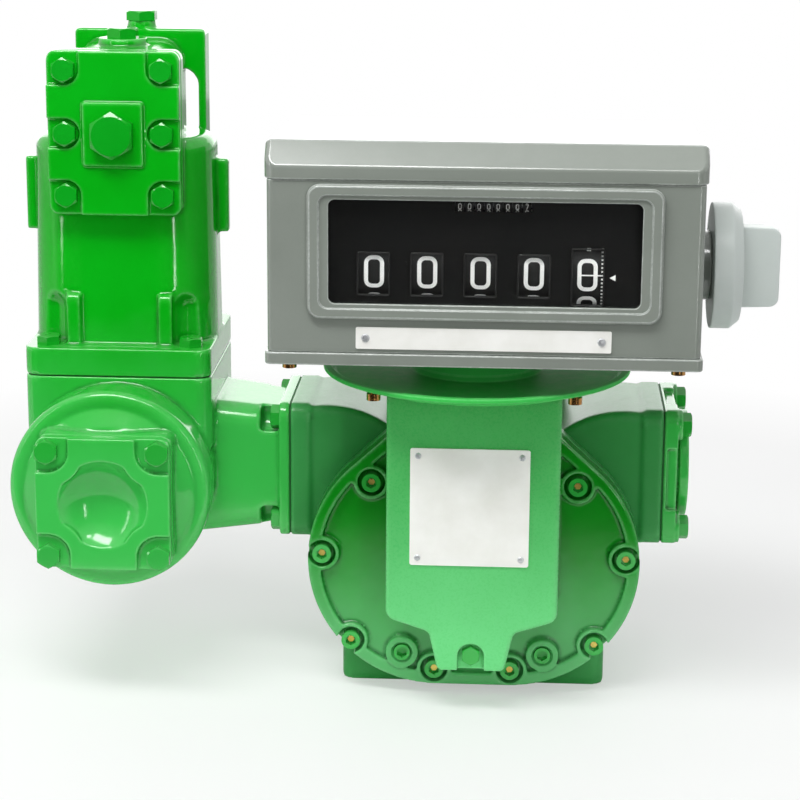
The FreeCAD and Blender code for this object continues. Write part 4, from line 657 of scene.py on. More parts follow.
# ---------------------------------------------------------------- mesh helpers
def welded(node: str) -> bmesh.types.BMesh:
    """A merged copy of a CAD node's mesh.

    Args:
        node: name of the CAD node.

    Returns:
        The copy.
    """
    shell = bmesh.new()
    shell.from_mesh(frame["nodes"][node].data)
    bmesh.ops.remove_doubles(shell, verts=shell.verts, dist=WELD_REACH)
    return shell


def poured(shell: bmesh.types.BMesh, name: str) -> Mesh:
    """Turns an edited mesh into a stored one.

    Args:
        shell: the edited mesh, which is freed.
        name: name of the stored mesh.

    Returns:
        The stored mesh.
    """
    mesh = bpy.data.meshes.new(name)
    shell.to_mesh(mesh)
    shell.free()
    return mesh


def benched(name: str, mesh: Mesh) -> Piece:
    """Makes a working object that holds a mesh while modifiers shape it.

    Args:
        name: name of the piece to come.
        mesh: the mesh.

    Returns:
        The working object.
    """
    work = bpy.data.objects.new(name + "_work", mesh)
    bpy.context.scene.collection.objects.link(work)
    return work


def put(name: str, mesh: Mesh, finish: Finish) -> Piece:
    """Makes an object of a mesh and gives it its finish.

    Args:
        name: name of the piece.
        mesh: its mesh, already in place.
        finish: the finish that it takes.

    Returns:
        The new object.
    """
    mesh.materials.clear()
    mesh.materials.append(MATERIALS[finish])
    piece = bpy.data.objects.new(name, mesh)
    bpy.context.scene.collection.objects.link(piece)
    return piece


def settled(piece: Piece) -> Mesh:
    """Works an object's modifiers in and removes them.

    Args:
        piece: the object.

    Returns:
        The finished mesh.
    """
    graph = bpy.context.evaluated_depsgraph_get()
    mesh = bpy.data.meshes.new_from_object(piece.evaluated_get(graph), depsgraph=graph)
    piece.modifiers.clear()
    return mesh


def read_rows(items: object, name: str, width: int, kind: type) -> np.ndarray:
    """Reads one property of a mesh's vertices or edges.

    Args:
        items: the vertices or the edges.
        name: the property.
        width: how many numbers each item has.
        kind: kind of number.

    Returns:
        One row of numbers for each item.
    """
    values = np.empty(len(items) * width, kind)
    items.foreach_get(name, values)
    return values.reshape(-1, width)


def curvature_marks(mesh: Mesh, gain: float) -> None:
    """Stores on each vertex of a dense mesh how convex and how hollow it is, 0 to 1.

    Args:
        mesh: the mesh to mark.
        gain: how quickly a bend becomes a full mark.
    """
    count = len(mesh.vertices)
    spots = read_rows(mesh.vertices, "co", 3, np.float32)
    normals = read_rows(mesh.vertices, "normal", 3, np.float32)
    pairs = read_rows(mesh.edges, "vertices", 2, np.int32)
    near = np.zeros((count, 3), np.float64)
    used = np.zeros(count)
    length = np.zeros(count)
    span = np.linalg.norm(spots[pairs[:, 0]] - spots[pairs[:, 1]], axis=1)
    for one, two in ((0, 1), (1, 0)):
        np.add.at(near, pairs[:, one], spots[pairs[:, two]])
        np.add.at(used, pairs[:, one], 1)
        np.add.at(length, pairs[:, one], span)
    used = np.maximum(used, 1)
    stand = ((spots - near / used[:, None]) * normals).sum(axis=1) / np.maximum(length / used, 1e-9)
    for name, values in (("rim", stand), ("hollow", -stand)):
        layer = mesh.attributes.new(name, "FLOAT", "POINT")
        layer.data.foreach_set("value", np.clip(values * gain, 0, 1).astype(np.float32))


def triangle_count(mesh: Mesh) -> int:
    """Number of triangles that a mesh's faces make."""
    return sum(len(face.vertices) - 2 for face in mesh.polygons)


@dataclass
class SoftCasting:
    """A casting whose corners are rounded all over, as sand or die casting leaves them.

    The voxel size is in millimetres, and most is the number of triangles that it may have.
    """

    node: str
    finish: Finish
    voxel: float = 1.2
    rounds: int = 4
    most: int = 120000
    slot: str = "alloy_green"
    body: str = METER
    mark_gain: float = 6.5

    def build(self) -> Piece:
        """Builds the piece and hides its CAD node.

        Returns:
            The piece.
        """
        work = benched(self.node, poured(welded(self.node), self.node + "_skin"))
        grid = work.modifiers.new("grid", "REMESH")
        grid.mode = "VOXEL"
        grid.voxel_size = self.voxel * MM
        ease = work.modifiers.new("ease", "SMOOTH")
        ease.factor = 0.5
        ease.iterations = self.rounds
        dense = settled(work)
        work.data = dense
        triangles = triangle_count(dense)
        if triangles > self.most:
            thin = work.modifiers.new("thin", "DECIMATE")
            thin.ratio = self.most / triangles
            dense = settled(work)
        bpy.data.objects.remove(work)
        dense.polygons.foreach_set("use_smooth", [True] * len(dense.polygons))
        curvature_marks(dense, self.mark_gain)
        piece = put(self.node + "_casting", dense, self.finish)
        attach(piece, self.body)
        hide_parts(self.node)
        LOG.info("%s: %d triangles from %d", piece.name, triangle_count(dense), triangles)
        return piece


@dataclass
class EdgedPart:
    """A machined, pressed or moulded part whose sharp corners get a small round, width in millimetres."""

    node: str
    finish: Finish
    width: float
    segments: int = 3
    angle: float = 34.0
    flat_angle: float = 0.6
    slot: str = "register_grey"

    def build(self) -> Piece:
        """Builds the piece and hides its CAD node.

        Returns:
            The piece.
        """
        shell = welded(self.node)
        bmesh.ops.dissolve_limit(shell, angle_limit=math.radians(self.flat_angle), verts=shell.verts,
                                 edges=shell.edges)
        limit = math.radians(self.angle)
        sharp = [e for e in shell.edges if len(e.link_faces) == 2 and e.calc_face_angle(0.0) > limit]
        rim_layer = shell.faces.layers.float.new("rim")
        result = bmesh.ops.bevel(shell, geom=sharp, offset=self.width * MM, segments=self.segments,
                                 profile=0.5, affect="EDGES", clamp_overlap=False, loop_slide=True)
        for face in result["faces"]:
            face[rim_layer] = 1.0
        mesh = poured(shell, self.node + "_edged")
        mesh.polygons.foreach_set("use_smooth", [True] * len(mesh.polygons))
        mesh.set_sharp_from_angle(angle=limit)
        work = benched(self.node, mesh)
        even = work.modifiers.new("even", "WEIGHTED_NORMAL")
        even.keep_sharp = True
        mesh = settled(work)
        bpy.data.objects.remove(work)
        piece = put(self.node + "_edged", mesh, self.finish)
        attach(piece, METER)
        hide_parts(self.node)
        LOG.info("%s: %d faces, %d sharp edges rounded", piece.name, len(mesh.polygons), len(sharp))
        return piece


# --------------------------------------------------------------------- studio
@dataclass(frozen=True)
class SoftBox:
    """A soft lamp: its place, what it faces, its size, its brightness, and whether gloss shows it."""

    name: str
    place: Triple
    aim: Triple
    size: Pair
    bright: float
    in_gloss: bool = True

    def build(self) -> None:
        """Hangs the lamp; the camera never sees it."""
        data = bpy.data.lights.new(self.name, "AREA")
        data.shape = "RECTANGLE"
        data.size, data.size_y = self.size
        data.energy = self.bright * math.pi * self.size[0] * self.size[1]
        lamp = bpy.data.objects.new(self.name, data)
        lamp.location = self.place
        lamp.rotation_euler = (Vector(self.aim) - Vector(self.place)).to_track_quat("-Z", "Y").to_euler()
        lamp.visible_camera = False
        lamp.visible_glossy = self.in_gloss
        bpy.context.scene.collection.objects.link(lamp)


LAMPS = (
    SoftBox("behind", (0.0, 2.2, 0.85), (0.0, 0.0, 0.2), (3.2, 1.3), 1.7),
    SoftBox("overhead", (-0.4, -0.82, 1.6), (-0.05, 0.0, 0.2), (1.0, 0.42), 14.0),
    SoftBox("overhead_front", (0.3, -0.9, 1.55), (0.0, 0.0, 0.2), (0.24, 0.18), 14.0),
    SoftBox("left_strip", (-1.25, -0.75, 0.55), (-0.15, 0.0, 0.22), (0.1, 0.9), 6.0),
    SoftBox("right_strip", (0.62, -1.55, 0.3), (-0.18, 0.0, 0.25), (0.06, 0.75), 16.0),
    SoftBox("front_fill", (0.2, -2.3, 1.2), (0.0, 0.0, 0.2), (1.8, 1.1), 1.0, in_gloss=False),
)


@dataclass
class Studio:
    """Camera, lamps, world and the pale floor; lengths in metres, angles in degrees."""

    eye: Triple = (0.03133, -1.57873, 0.58711)
    pitch: float = 14.4
    yaw: float = 3.06
    roll: float = 0.4
    lens: float = 108.0
    sensor: float = 36.0
    dome: float = 0.3
    room: float = 0.04
    room_front: Pair = (-0.15, -0.55)
    room_top: Pair = (0.8, 0.45)
    table_front: float = -0.42
    table_reach: float = 3.0
    table_middle: Triple = (-0.05, 0.05, 0.0)
    table_colours: tuple[Triple, Triple] = ((246, 246, 246), (250, 250, 250))
    table_grain: float = 6.0
    table_roughness: float = 0.6
    table_specular: float = 0.2
    white_reach: Pair = (0.42, 0.8)
    edge_fade: float = 0.14
    least_white: float = 0.45

    def build(self) -> None:
        """Builds everything that isn't part of the object."""
        self.camera()
        self.world()
        self.floor()
        for lamp in LAMPS:
            lamp.build()
        LOG.info("studio ready")

    def camera(self) -> None:
        """Places the camera a little above and to the right, looking down and left."""
        pitch, yaw, roll = (math.radians(v) for v in (self.pitch, self.yaw, self.roll))
        ahead = Vector((-math.sin(yaw) * math.cos(pitch), math.cos(yaw) * math.cos(pitch), -math.sin(pitch)))
        right = Vector((math.cos(yaw), math.sin(yaw), 0.0))
        up = right.cross(ahead)
        side = right * math.cos(roll) + up * math.sin(roll)
        top = -right * math.sin(roll) + up * math.cos(roll)
        data = bpy.data.cameras.new("camera")
        data.lens = self.lens
        data.sensor_width = self.sensor
        data.clip_start = 0.05
        data.clip_end = 50.0
        eye = bpy.data.objects.new("camera", data)
        eye.matrix_world = Matrix.Translation(self.eye) @ Matrix((side, top, -ahead)).transposed().to_4x4()
        bpy.context.scene.collection.objects.link(eye)
        bpy.context.scene.camera = eye

    def world(self) -> None:
        """White where the camera looks; gloss and glass find the room in front darker; softer as a light."""
        world = bpy.data.worlds.new("studio")
        world.use_nodes = True
        bpy.context.scene.world = world
        graph = Graph(world.node_tree)
        back = world.node_tree.nodes["Background"]
        back.inputs["Color"].default_value = (1.0, 1.0, 1.0, 1.0)
        rays = graph.add("ShaderNodeLightPath")
        spot = graph.add("ShaderNodeTexCoord")
        way = graph.add("ShaderNodeSeparateXYZ", Vector=spot.outputs["Generated"])
        front = graph.spread(way.outputs[1], *self.room_front)
        low = graph.spread(way.outputs[2], *self.room_top)
        gloss = graph.spread(graph.times(front, low), 0.0, 1.0, 1.0, self.room)
        shown = graph.math("MAXIMUM", rays.outputs["Is Glossy Ray"], rays.outputs["Is Transmission Ray"])
        other = graph.add("ShaderNodeMix", {"data_type": "FLOAT"})
        graph.feed(other.inputs[0], shown)
        graph.feed(other.inputs[2], self.dome)
        graph.feed(other.inputs[3], gloss)
        strength = graph.math("MAXIMUM", rays.outputs["Is Camera Ray"], other.outputs[0])
        graph.feed(back.inputs["Strength"], strength)
        bpy.context.scene.view_settings.view_transform = "Standard"

    def floor(self) -> None:
        """A pale table top whose shadow is kept near the object and whose far part is white."""
        reach, front = self.table_reach, self.table_front
        points = [(-reach, front, 0.0), (reach, front, 0.0), (reach, reach, 0.0), (-reach, reach, 0.0)]
        mesh = bpy.data.meshes.new("floor")
        mesh.from_pydata(points, [], [(0, 1, 2, 3)])
        material, graph, shader, spot, _ = new_material("floor")
        grain = graph.noise(spot, self.table_grain, 3.0)
        dull, bright = (linear(*colour) for colour in self.table_colours)
        graph.feed(shader.inputs["Base Color"], graph.blend(grain, dull, bright))
        shader.inputs["Roughness"].default_value = self.table_roughness
        shader.inputs["Specular IOR Level"].default_value = self.table_specular
        place = graph.add("ShaderNodeVectorMath", {"operation": "SUBTRACT"})
        graph.feed(place.inputs[0], spot)
        place.inputs[1].default_value = self.table_middle
        away = graph.add("ShaderNodeVectorMath", {"operation": "LENGTH"})
        graph.feed(away.inputs[0], place.outputs[0])
        far = graph.spread(away.outputs["Value"], *self.white_reach)
        far = graph.math("MAXIMUM", far, graph.spread(graph.part(spot, 1), front + self.edge_fade, front))
        far = graph.math("MAXIMUM", far, self.least_white)
        rays = graph.add("ShaderNodeLightPath")
        white = graph.add("ShaderNodeEmission", Color=(1.0, 1.0, 1.0, 1.0), Strength=1.0)
        mix = graph.add("ShaderNodeMixShader")
        graph.feed(mix.inputs[0], graph.times(far, rays.outputs["Is Camera Ray"]))
        graph.feed(mix.inputs[1], shader.outputs[0])
        graph.feed(mix.inputs[2], white.outputs[0])
        graph.feed(material.node_tree.nodes["Material Output"].inputs["Surface"], mix.outputs[0])
        mesh.materials.append(material)
        floor = bpy.data.objects.new("floor", mesh)
        bpy.context.scene.collection.objects.link(floor)


# ------------------------------------------------------------------- numerals
ARC_PARTS = 5
STROKE_STEP = 1.4


def rounded(before: Vector, here: Vector, after: Vector, radius: float) -> list[Pair]:
    """Rounds one corner of a line.

    Args:
        before: the corner before it.
        here: the corner.
        after: the corner after it.
        radius: radius of the arc, made smaller where the sides are too short for it.

    Returns:
        Points along the arc.
    """
    back = (before - here).normalized()
    ahead = (after - here).normalized()
    half = math.acos(max(-1.0, min(1.0, back.dot(ahead)))) / 2
    reach = min(radius / math.tan(half), (before - here).length * 0.5, (after - here).length * 0.5)
    fitted = reach * math.tan(half)
    centre = here + (back + ahead).normalized() * (fitted / math.sin(half))
    start, end = here + back * reach, here + ahead * reach
    first = math.atan2(start.y - centre.y, start.x - centre.x)
    turn = math.atan2(end.y - centre.y, end.x - centre.x) - first
    turn = (turn + math.pi) % (2 * math.pi) - math.pi
    angles = [first + turn * part / ARC_PARTS for part in range(ARC_PARTS + 1)]
    return [(centre.x + fitted * math.cos(angle), centre.y + fitted * math.sin(angle)) for angle in angles]


@dataclass(frozen=True)
class Stroke:
    """One pen stroke of a numeral: corners with their radii, open or closed."""

    corners: tuple[Triple, ...]
    closed: bool = False

    def line(self, step: float) -> list[Pair]:
        """Points along the stroke with its corners rounded.

        Args:
            step: longest distance between points.

        Returns:
            The points.
        """
        spots: list[Pair] = []
        count = len(self.corners)
        for index, (x, y, radius) in enumerate(self.corners):
            here = Vector((x, y))
            if radius <= 0 or (not self.closed and index in (0, count - 1)):
                spots.append((x, y))
                continue
            before = Vector(self.corners[index - 1][:2])
            after = Vector(self.corners[(index + 1) % count][:2])
            spots += rounded(before, here, after, radius)
        fine: list[Pair] = []
        ends = len(spots) if self.closed else len(spots) - 1
        for index in range(ends):
            a, b = Vector(spots[index]), Vector(spots[(index + 1) % len(spots)])
            parts = max(1, math.ceil((b - a).length / step))
            fine += [tuple(a.lerp(b, part / parts)) for part in range(parts)]
        if not self.closed:
            fine.append(spots[-1])
        return fine


# Half width and half height of a numeral's centre line, and its usual corner, in millimetres.
W, H, R = 4.9, 8.9, 3.6
NUMERALS = {
    0: (Stroke(((-W, -H, R), (W, -H, R), (W, H, R), (-W, H, R)), True),),
    1: (Stroke(((-2.4, H - 2.6, 0), (0.6, H, 0.3), (0.6, -H, 0))),),
    2: (Stroke(((-W, H - 4.0, 0), (-W, H, R), (W, H, R), (W, 0.4, R), (-W, -3.6, 1.6), (-W, -H, 0.2),
                (W, -H, 0))),),
    3: (Stroke(((-W, H - 3.4, 0), (-W, H, R), (W, H, R), (W, 0.5, 2.6), (-1.4, 0.5, 0))),
        Stroke(((-1.4, 0.5, 0), (W, 0.5, 2.6), (W, -H, R), (-W, -H, R), (-W, -H + 3.4, 0)))),
    4: (Stroke(((2.3, -H, 0), (2.3, H, 0.3), (-W, -3.4, 0.4), (W + 0.8, -3.4, 0))),),
    5: (Stroke(((W, H, 0), (-W, H, 0.4), (-W, 1.2, 0.4), (W, 1.2, R), (W, -H, R), (-W, -H, R),
                (-W, -H + 3.2, 0))),),
    6: (Stroke(((-W, -H, R), (W, -H, R), (W, 1.0, R), (-W, 1.0, R)), True),
        Stroke(((-W, -3.0, 0), (-W, H, R), (W, H, R), (W, H - 3.4, 0)))),
    7: (Stroke(((-W, H, 0), (W, H, 0.4), (-1.4, -H, 0))),),
    8: (Stroke(((-W, -H, R), (W, -H, R), (W, 0.6, R), (-W, 0.6, R)), True),
        Stroke(((-W + 0.5, 0.6, R), (W - 0.5, 0.6, R), (W - 0.5, H, R), (-W + 0.5, H, R)), True)),
    9: (Stroke(((W, H, R), (-W, H, R), (-W, -1.0, R), (W, -1.0, R)), True),
        Stroke(((W, 3.0, 0), (W, -H, R), (-W, -H, R), (-W, -H + 3.4, 0)))),
}


def ribbon(stroke: Stroke, scale: float, pen: float) -> tuple[list[Pair], list[tuple[int, ...]]]:
    """A flat band along a stroke.

    Args:
        stroke: the stroke to follow.
        scale: size of the numeral, 1 for 12 by 20 mm.
        pen: width of the band in millimetres.

    Returns:
        Points in millimetres and faces.
    """
    line = stroke.line(STROKE_STEP)
    points: list[Pair] = []
    count = len(line)
    for index, spot in enumerate(line):
        before = line[index - 1] if index or stroke.closed else spot
        after = line[(index + 1) % count] if index < count - 1 or stroke.closed else spot
        here = Vector(spot)
        one = (here - Vector(before)).normalized() if before != spot else (Vector(after) - here).normalized()
        two = (Vector(after) - here).normalized() if after != spot else one
        along = (one + two).normalized()
        across = Vector((-along.y, along.x))
        widen = 1.0 / max(0.5, across.dot(Vector((-one.y, one.x))))
        for side in (1, -1):
            edge = here * scale + across * (side * pen / 2 * widen)
            points.append((edge.x, edge.y))
    ends = count if stroke.closed else count - 1
    faces = []
    for index in range(ends):
        a, b = index * 2, ((index + 1) % count) * 2
        faces.append((a, a + 1, b + 1, b))
    return points, faces


@dataclass
class NumeralRing:
    """The ten printed numerals round one wheel."""

    wheel: str
    scale: float = 1.0
    pen: float = 2.5
    shown: int = 0
    proud: float = 0.06

    def wrapped(self, centre: Vector, radius: float) -> Mesh:
        """Wraps the flat numerals round the wheel; the next one stands above.

        Args:
            centre: middle of the wheel.
            radius: radius of the printed face.

        Returns:
            The numerals without thickness.
        """
        points, faces = [], []
        for value, strokes in NUMERALS.items():
            turn = math.radians(360.0 / len(NUMERALS) * (value - self.shown))
            for stroke in strokes:
                flat, quads = ribbon(stroke, self.scale, self.pen)
                start = len(points)
                for x, y in flat:
                    angle = turn + y * MM / radius
                    points.append((centre.x + x * MM, centre.y - radius * math.cos(angle),
                                   centre.z + radius * math.sin(angle)))
                faces += [tuple(start + i for i in quad) for quad in quads]
        mesh = bpy.data.meshes.new(self.wheel + "_numerals")
        mesh.from_pydata(points, [], faces)
        return mesh

    def build(self) -> Piece:
        """Prints the numerals on the wheel.

        Returns:
            The numerals, as one piece that turns with the wheel.
        """
        low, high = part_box(self.wheel)
        centre = (low + high) / 2
        mesh = self.wrapped(centre, (high.z - low.z) / 2 + self.proud * MM)
        shell = bmesh.new()
        shell.from_mesh(mesh)
        bmesh.ops.recalc_face_normals(shell, faces=shell.faces)
        for face in shell.faces:
            middle = face.calc_center_median()
            if face.normal.dot(middle - Vector((middle.x, centre.y, centre.z))) < 0:
                face.normal_flip()
        shell.to_mesh(mesh)
        shell.free()
        piece = put(self.wheel + "_numerals", mesh, Finish.NUMERAL_WHITE)
        body = piece.modifiers.new("ink", "SOLIDIFY")
        body.thickness = self.proud * 2 * MM
        body.offset = -1.0
        piece.data = settled(piece)
        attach(piece, self.wheel)
        LOG.info("%s: %d faces", piece.name, len(piece.data.polygons))
        return piece


# ------------------------------------------------------------ repeated pieces
class Repeat:
    """A Geometry Nodes tree that sets copies of one small form and gives them their finish."""

    def __init__(self, name: str, inputs: dict[str, float], finish: Finish) -> None:
        """Starts the tree.

        Args:
            name: name of the tree.
            inputs: its number inputs with their defaults.
            finish: finish of the copies.
        """
        self.tree = bpy.data.node_groups.new(name, "GeometryNodeTree")
        self.tree.interface.new_socket(name="Geometry", in_out="INPUT", socket_type="NodeSocketGeometry")
        self.tree.interface.new_socket(name="Geometry", in_out="OUTPUT", socket_type="NodeSocketGeometry")
        self.keys = {}
        for label, value in inputs.items():
            socket = self.tree.interface.new_socket(name=label, in_out="INPUT", socket_type="NodeSocketFloat")
            socket.default_value = value
            self.keys[label] = socket.identifier
        self.graph = Graph(self.tree)
        source = self.tree.nodes.new("NodeGroupInput")
        self.source = {s.name: s for s in source.outputs}
        self.finish = finish

    def face_front(self, form: bpy.types.Node) -> None:
        """Sets a form that lies flat on every given point, turned to face along Y.

        Args:
            form: the node that makes the form.
        """
        turn = self.graph.add("ShaderNodeCombineXYZ", X=math.pi / 2)
        copies = self.graph.add("GeometryNodeInstanceOnPoints", Points=self.source["Geometry"],
                                Instance=form.outputs[0], Rotation=turn.outputs[0])
        self.close(copies.outputs[0])

    def close(self, instances: Socket) -> None:
        """Realizes the copies and sets their material.

        Args:
            instances: the copies.
        """
        real = self.graph.add("GeometryNodeRealizeInstances", Geometry=instances)
        painted = self.graph.add("GeometryNodeSetMaterial", Geometry=real.outputs[0],
                                 Material=MATERIALS[self.finish])
        self.graph.add("NodeGroupOutput", Geometry=painted.outputs[0])

    def piece(self, name: str, body: str, slot: str, values: dict[str, float],
              spots: list[Triple]) -> Piece:
        """Makes one piece with the tree.

        Args:
            name: name of the piece.
            body: body that it rides on.
            slot: name of a material slot; not used.
            values: values of the tree's inputs.
            spots: points that the copies may stand on, in metres.

        Returns:
            The piece, with the copies as its mesh.
        """
        base = bpy.data.meshes.new(name + "_spots")
        base.from_pydata(spots, [], [])
        work = benched(name, base)
        modifier = work.modifiers.new("copies", "NODES")
        modifier.node_group = self.tree
        for label, value in values.items():
            modifier[self.keys[label]] = value
        mesh = settled(work)
        bpy.data.objects.remove(work)
        piece = put(name, mesh, self.finish)
        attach(piece, body)
        LOG.info("%s: %d faces", name, len(mesh.polygons))
        return piece


def tick_tree() -> Repeat:
    """Ticks round a wheel that turns on X: short ones, and a long one for every numeral.

    Returns:
        The tree.
    """
    count = 100
    sizes = {"Count": count, "Radius": 38 * MM, "Right": 0.0, "Length": 2.3 * MM, "Long": 15.5 * MM,
             "Width": 1.1 * MM, "Thinner": 0.25 * MM, "Depth": 0.12 * MM}
    repeat = Repeat("tick_ring", sizes, Finish.NUMERAL_WHITE)
    graph, source = repeat.graph, repeat.source
    index = graph.add("GeometryNodeInputIndex").outputs[0]
    angle = graph.times(index, graph.math("DIVIDE", 2 * math.pi, source["Count"]))
    tenth = graph.math("LESS_THAN", graph.math("MODULO", graph.plus(index, 0.01), 10.0), 0.5)
    extra = graph.times(tenth, graph.math("SUBTRACT", source["Long"], source["Length"]))
    length = graph.plus(source["Length"], extra)
    across = graph.math("SUBTRACT", source["Right"], graph.times(length, 0.5))
    side = graph.times(graph.math("COSINE", angle), graph.times(source["Radius"], -1.0))
    lift = graph.times(graph.math("SINE", angle), source["Radius"])
    place = graph.add("ShaderNodeCombineXYZ", X=across, Y=side, Z=lift)
    points = graph.add("GeometryNodePoints", Count=count, Position=place.outputs[0])
    cube = graph.add("GeometryNodeMeshCube")
    cube.inputs["Size"].default_value = (1.0, 1.0, 1.0)
    turn = graph.add("ShaderNodeCombineXYZ", X=graph.times(angle, -1.0))
    narrow = graph.math("SUBTRACT", source["Width"], graph.times(tenth, source["Thinner"]))
    scale = graph.add("ShaderNodeCombineXYZ", X=length, Y=source["Depth"], Z=narrow)
    copies = graph.add("GeometryNodeInstanceOnPoints", Points=points.outputs[0],
                       Instance=cube.outputs[0], Rotation=turn.outputs[0], Scale=scale.outputs[0])
    repeat.close(copies.outputs[0])
    return repeat


def socket_tree() -> Repeat:
    """Bright hexagon bottoms that show in the sockets of screws which point along Y.

    Returns:
        The tree.
    """
    repeat = Repeat("socket_seats", {"Radius": 2.3 * MM, "Depth": 0.4 * MM}, Finish.ZINC)
    source = repeat.source
    repeat.face_front(repeat.graph.add("GeometryNodeMeshCylinder", Vertices=6, Radius=source["Radius"],
                                       Depth=source["Depth"]))
    return repeat


def trim_tree() -> Repeat:
    """Thin round beads that trim the holes of the dial.

    Returns:
        The tree.
    """
    sizes = {"Width": 19.3 * MM, "Height": 26.4 * MM, "Corner": 1.2 * MM, "Band": 0.45 * MM}
    repeat = Repeat("hole_trims", sizes, Finish.WHEEL_BLACK)
    graph, source = repeat.graph, repeat.source
    edge = graph.add("GeometryNodeCurvePrimitiveQuadrilateral", Width=source["Width"],
                     Height=source["Height"])
    soft = graph.add("GeometryNodeFilletCurve", {"mode": "POLY"}, Curve=edge.outputs[0],
                     Radius=source["Corner"], Count=4)
    bead = graph.add("GeometryNodeCurvePrimitiveCircle", Resolution=8, Radius=source["Band"])
    repeat.face_front(graph.add("GeometryNodeCurveToMesh", Curve=soft.outputs[0],
                                Profile_Curve=bead.outputs[0]))
    return repeat


def islands(node: str) -> list[tuple[Vector, Vector]]:
    """Finds each separate solid of a CAD node.

    Args:
        node: name of the CAD node.

    Returns:
        The lowest and the highest corner of each solid.
    """
    shell = welded(node)
    shell.verts.ensure_lookup_table()
    left = set(range(len(shell.verts)))
    boxes = []
    while left:
        stack = [left.pop()]
        found = []
        while stack:
            vert = shell.verts[stack.pop()]
            found.append(vert.co.copy())
            for edge in vert.link_edges:
                other = edge.other_vert(vert).index
                if other in left:
                    left.remove(other)
                    stack.append(other)
        boxes.append((Vector(map(min, *found)), Vector(map(max, *found))))
    shell.free()
    return boxes


@dataclass(frozen=True)
class SocketSeats:
    """Bright bottoms in the sockets of the cover screws, a depth in millimetres below their heads."""

    depth: float = 3.55

    def build(self) -> None:
        """Sets one seat in each screw, front and rear."""
        spots = []
        for low, high in islands("cover_screws"):
            middle = (low + high) / 2
            bottom = low.y + self.depth * MM if middle.y < 0 else high.y - self.depth * MM
            spots.append((middle.x, bottom, middle.z))
        socket_tree().piece("socket_seats", METER, "bolt_green", {}, spots)


@dataclass(frozen=True)
class Dial:
    """What marks the dial: ticks, hole trims and the pointer. Sizes are in millimetres."""

    wheels: int = WHEELS
    tick_right: float = 10.6
    units_height: float = 35.0
    pointer_right: float = 13.2
    pointer_length: float = 3.6
    pointer_half: float = 1.9
    pointer_proud: float = 0.25
    pointer_sunk: float = 0.05
    pointer_round: float = 0.06

    def build(self) -> None:
        """Builds the marks round the units wheel, then those round the others, then the pointer."""
        units = f"number_wheel_{self.wheels}"
        centre = sum(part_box(units), Vector()) / 2
        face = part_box("dial_plate")[0].y
        right = {"Right": self.tick_right * MM}
        ticks = tick_tree().piece("units_ticks", units, "dial_black", right, [(0, 0, 0)])
        ticks.data.transform(Matrix.Translation(centre))
        trims = trim_tree()
        spots = []
        for index in range(1, self.wheels):
            low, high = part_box(f"number_wheel_{index}")
            spots.append(((low.x + high.x) / 2, face, centre.z))
        trims.piece("hole_trims", METER, "dial_black", {}, spots)
        trims.piece("units_hole_trim", METER, "dial_black", {"Height": self.units_height * MM},
                    [(centre.x, face, centre.z)])
        self.pointer(centre.x + self.pointer_right * MM, face, centre.z)

    def pointer(self, x: float, face: float, z: float) -> Piece:
        """Makes the pointer beside the units wheel.

        Args:
            x: where its tip is, in metres.
            face: front of the dial.
            z: height of its tip.

        Returns:
            The piece.
        """
        long, half = self.pointer_length, self.pointer_half
        outline = ((0.0, 0.0), (long, half), (long, -half))
        shell = bmesh.new()
        front, back = (
            [shell.verts.new((x + along * MM, face + deep * MM, z + up * MM)) for along, up in outline]
            for deep in (-self.pointer_proud, self.pointer_sunk))
        shell.faces.new(front)
        shell.faces.new(back[::-1])
        for index in range(3):
            other = (index + 1) % 3
            shell.faces.new((front[other], front[index], back[index], back[other]))
        bmesh.ops.recalc_face_normals(shell, faces=shell.faces)
        bmesh.ops.bevel(shell, geom=shell.edges[:], offset=self.pointer_round * MM, segments=2, profile=0.5,
                        affect="EDGES")
        pointer = put("units_pointer", poured(shell, "pointer"), Finish.NUMERAL_WHITE)
        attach(pointer, METER)
        LOG.info("%s: %d faces", pointer.name, len(pointer.data.polygons))
        return pointer


@dataclass(frozen=True)
class Counter:
    """The printed figures of the large wheels and of the totalizer's small ones, in millimetres.

    All wheels show nought but the totalizer's last.
    """

    wheels: int = WHEELS
    small_wheels: int = 8
    small_scale: float = 0.17
    small_pen: float = 0.42
    small_proud: float = 0.03
    last_shown: int = 7

    def build(self) -> None:
        """Prints each wheel."""
        for index in range(1, self.wheels + 1):
            NumeralRing(f"number_wheel_{index}").build()
        for index in range(1, self.small_wheels + 1):
            shown = self.last_shown if index == self.small_wheels else 0
            NumeralRing(f"totalizer_wheel_{index}", self.small_scale, self.small_pen, shown,
                        self.small_proud).build()


@dataclass(frozen=True)
class Assembly:
    """A sub-assembly whose shaped pieces are made together."""

    name: str
    pieces: tuple[SoftCasting | EdgedPart, ...]

    def build(self) -> None:
        """Builds its pieces in order."""
        LOG.info("%s: %d shaped pieces", self.name, len(self.pieces))
        for piece in self.pieces:
            piece.build()


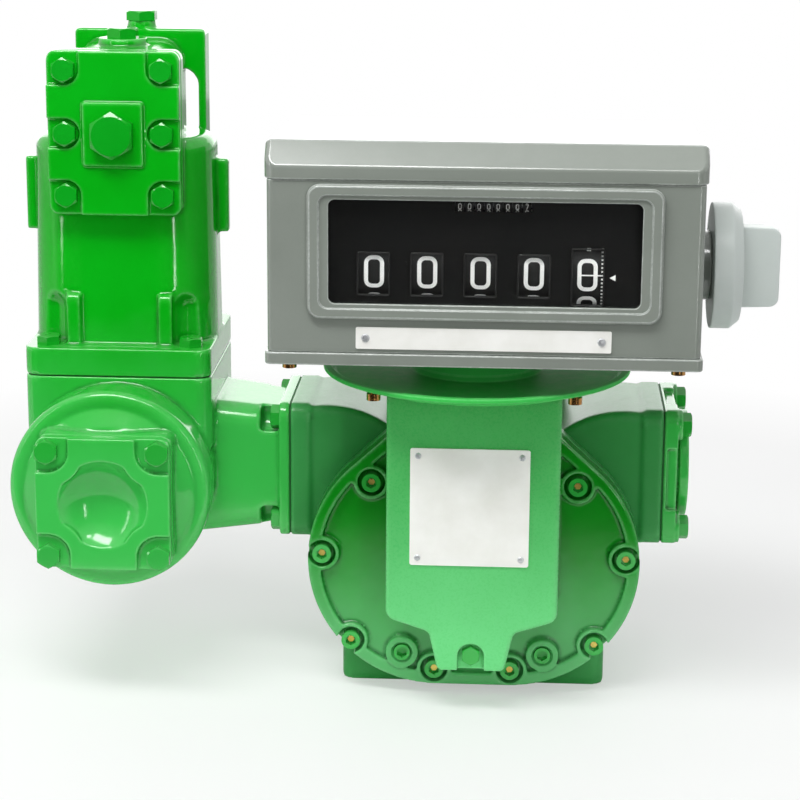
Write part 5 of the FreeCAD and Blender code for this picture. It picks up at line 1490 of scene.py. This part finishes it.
ASSEMBLIES = (
    Assembly("meter body", (
        SoftCasting("meter_housing", Finish.IRON_GREEN, voxel=1.4, most=150000, slot="iron_green"),
        SoftCasting("front_cover", Finish.COVER_GREEN, voxel=0.9, rounds=3, most=110000, slot="iron_green"),
        SoftCasting("rear_cover", Finish.IRON_GREEN, rounds=3, most=60000, slot="iron_green"),
        SoftCasting("gear_case_cover", Finish.CASE_GREEN, voxel=0.8, rounds=3, most=80000),
    )),
    Assembly("strainer and air eliminator", (
        SoftCasting("strainer_housing", Finish.ALLOY_GREEN, rounds=5, most=140000),
        SoftCasting("air_eliminator_body", Finish.ALLOY_GREEN, rounds=5, most=150000),
        SoftCasting("strainer_cover", Finish.ALLOY_GREEN, voxel=0.8, rounds=3, most=70000),
        SoftCasting("valve_cover", Finish.ALLOY_GREEN, voxel=0.8, rounds=3, most=70000),
    )),
    Assembly("outlet", (
        SoftCasting("outlet_flange", Finish.ALLOY_GREEN, voxel=0.9, rounds=3, most=60000),
    )),
    Assembly("register", (
        SoftCasting("reset_knob", Finish.KNOB_GREY, voxel=0.6, most=60000, slot="knob_grey",
                    body="reset_knob"),
        EdgedPart("counter_adapter", Finish.ADAPTER_GREEN, width=0.9, slot="alloy_green"),
        EdgedPart("register_base", Finish.REGISTER_GREY, width=1.0),
        EdgedPart("register_case", Finish.REGISTER_GREY, width=0.9),
        EdgedPart("register_lid", Finish.REGISTER_GREY, width=0.9),
        EdgedPart("window_bezel", Finish.REGISTER_GREY, width=0.6),
    )),
)


def dress_cad_nodes() -> None:
    """Gives every CAD node the finish of its material slot."""
    slots = {row["node"]: row["material_slot"] for row in frame["record"]["subparts"]}
    by_slot = {finish.value: finish for finish in Finish}
    for name, item in frame["nodes"].items():
        finish = by_slot[slots[name]]
        if name.startswith(("number_wheel", "totalizer_wheel")):
            finish = Finish.WHEEL_BLACK
        item.data.materials.clear()
        item.data.materials.append(MATERIALS[finish])
    LOG.info("%d CAD nodes dressed", len(frame["nodes"]))


def main() -> None:
    """Builds the studio and every piece in order."""
    logging.basicConfig(level=logging.INFO, format="%(message)s")
    Studio().build()
    dress_cad_nodes()
    for assembly in ASSEMBLIES:
        assembly.build()
    SocketSeats().build()
    Dial().build()
    Counter().build()


if __name__ == "__main__":
    main()
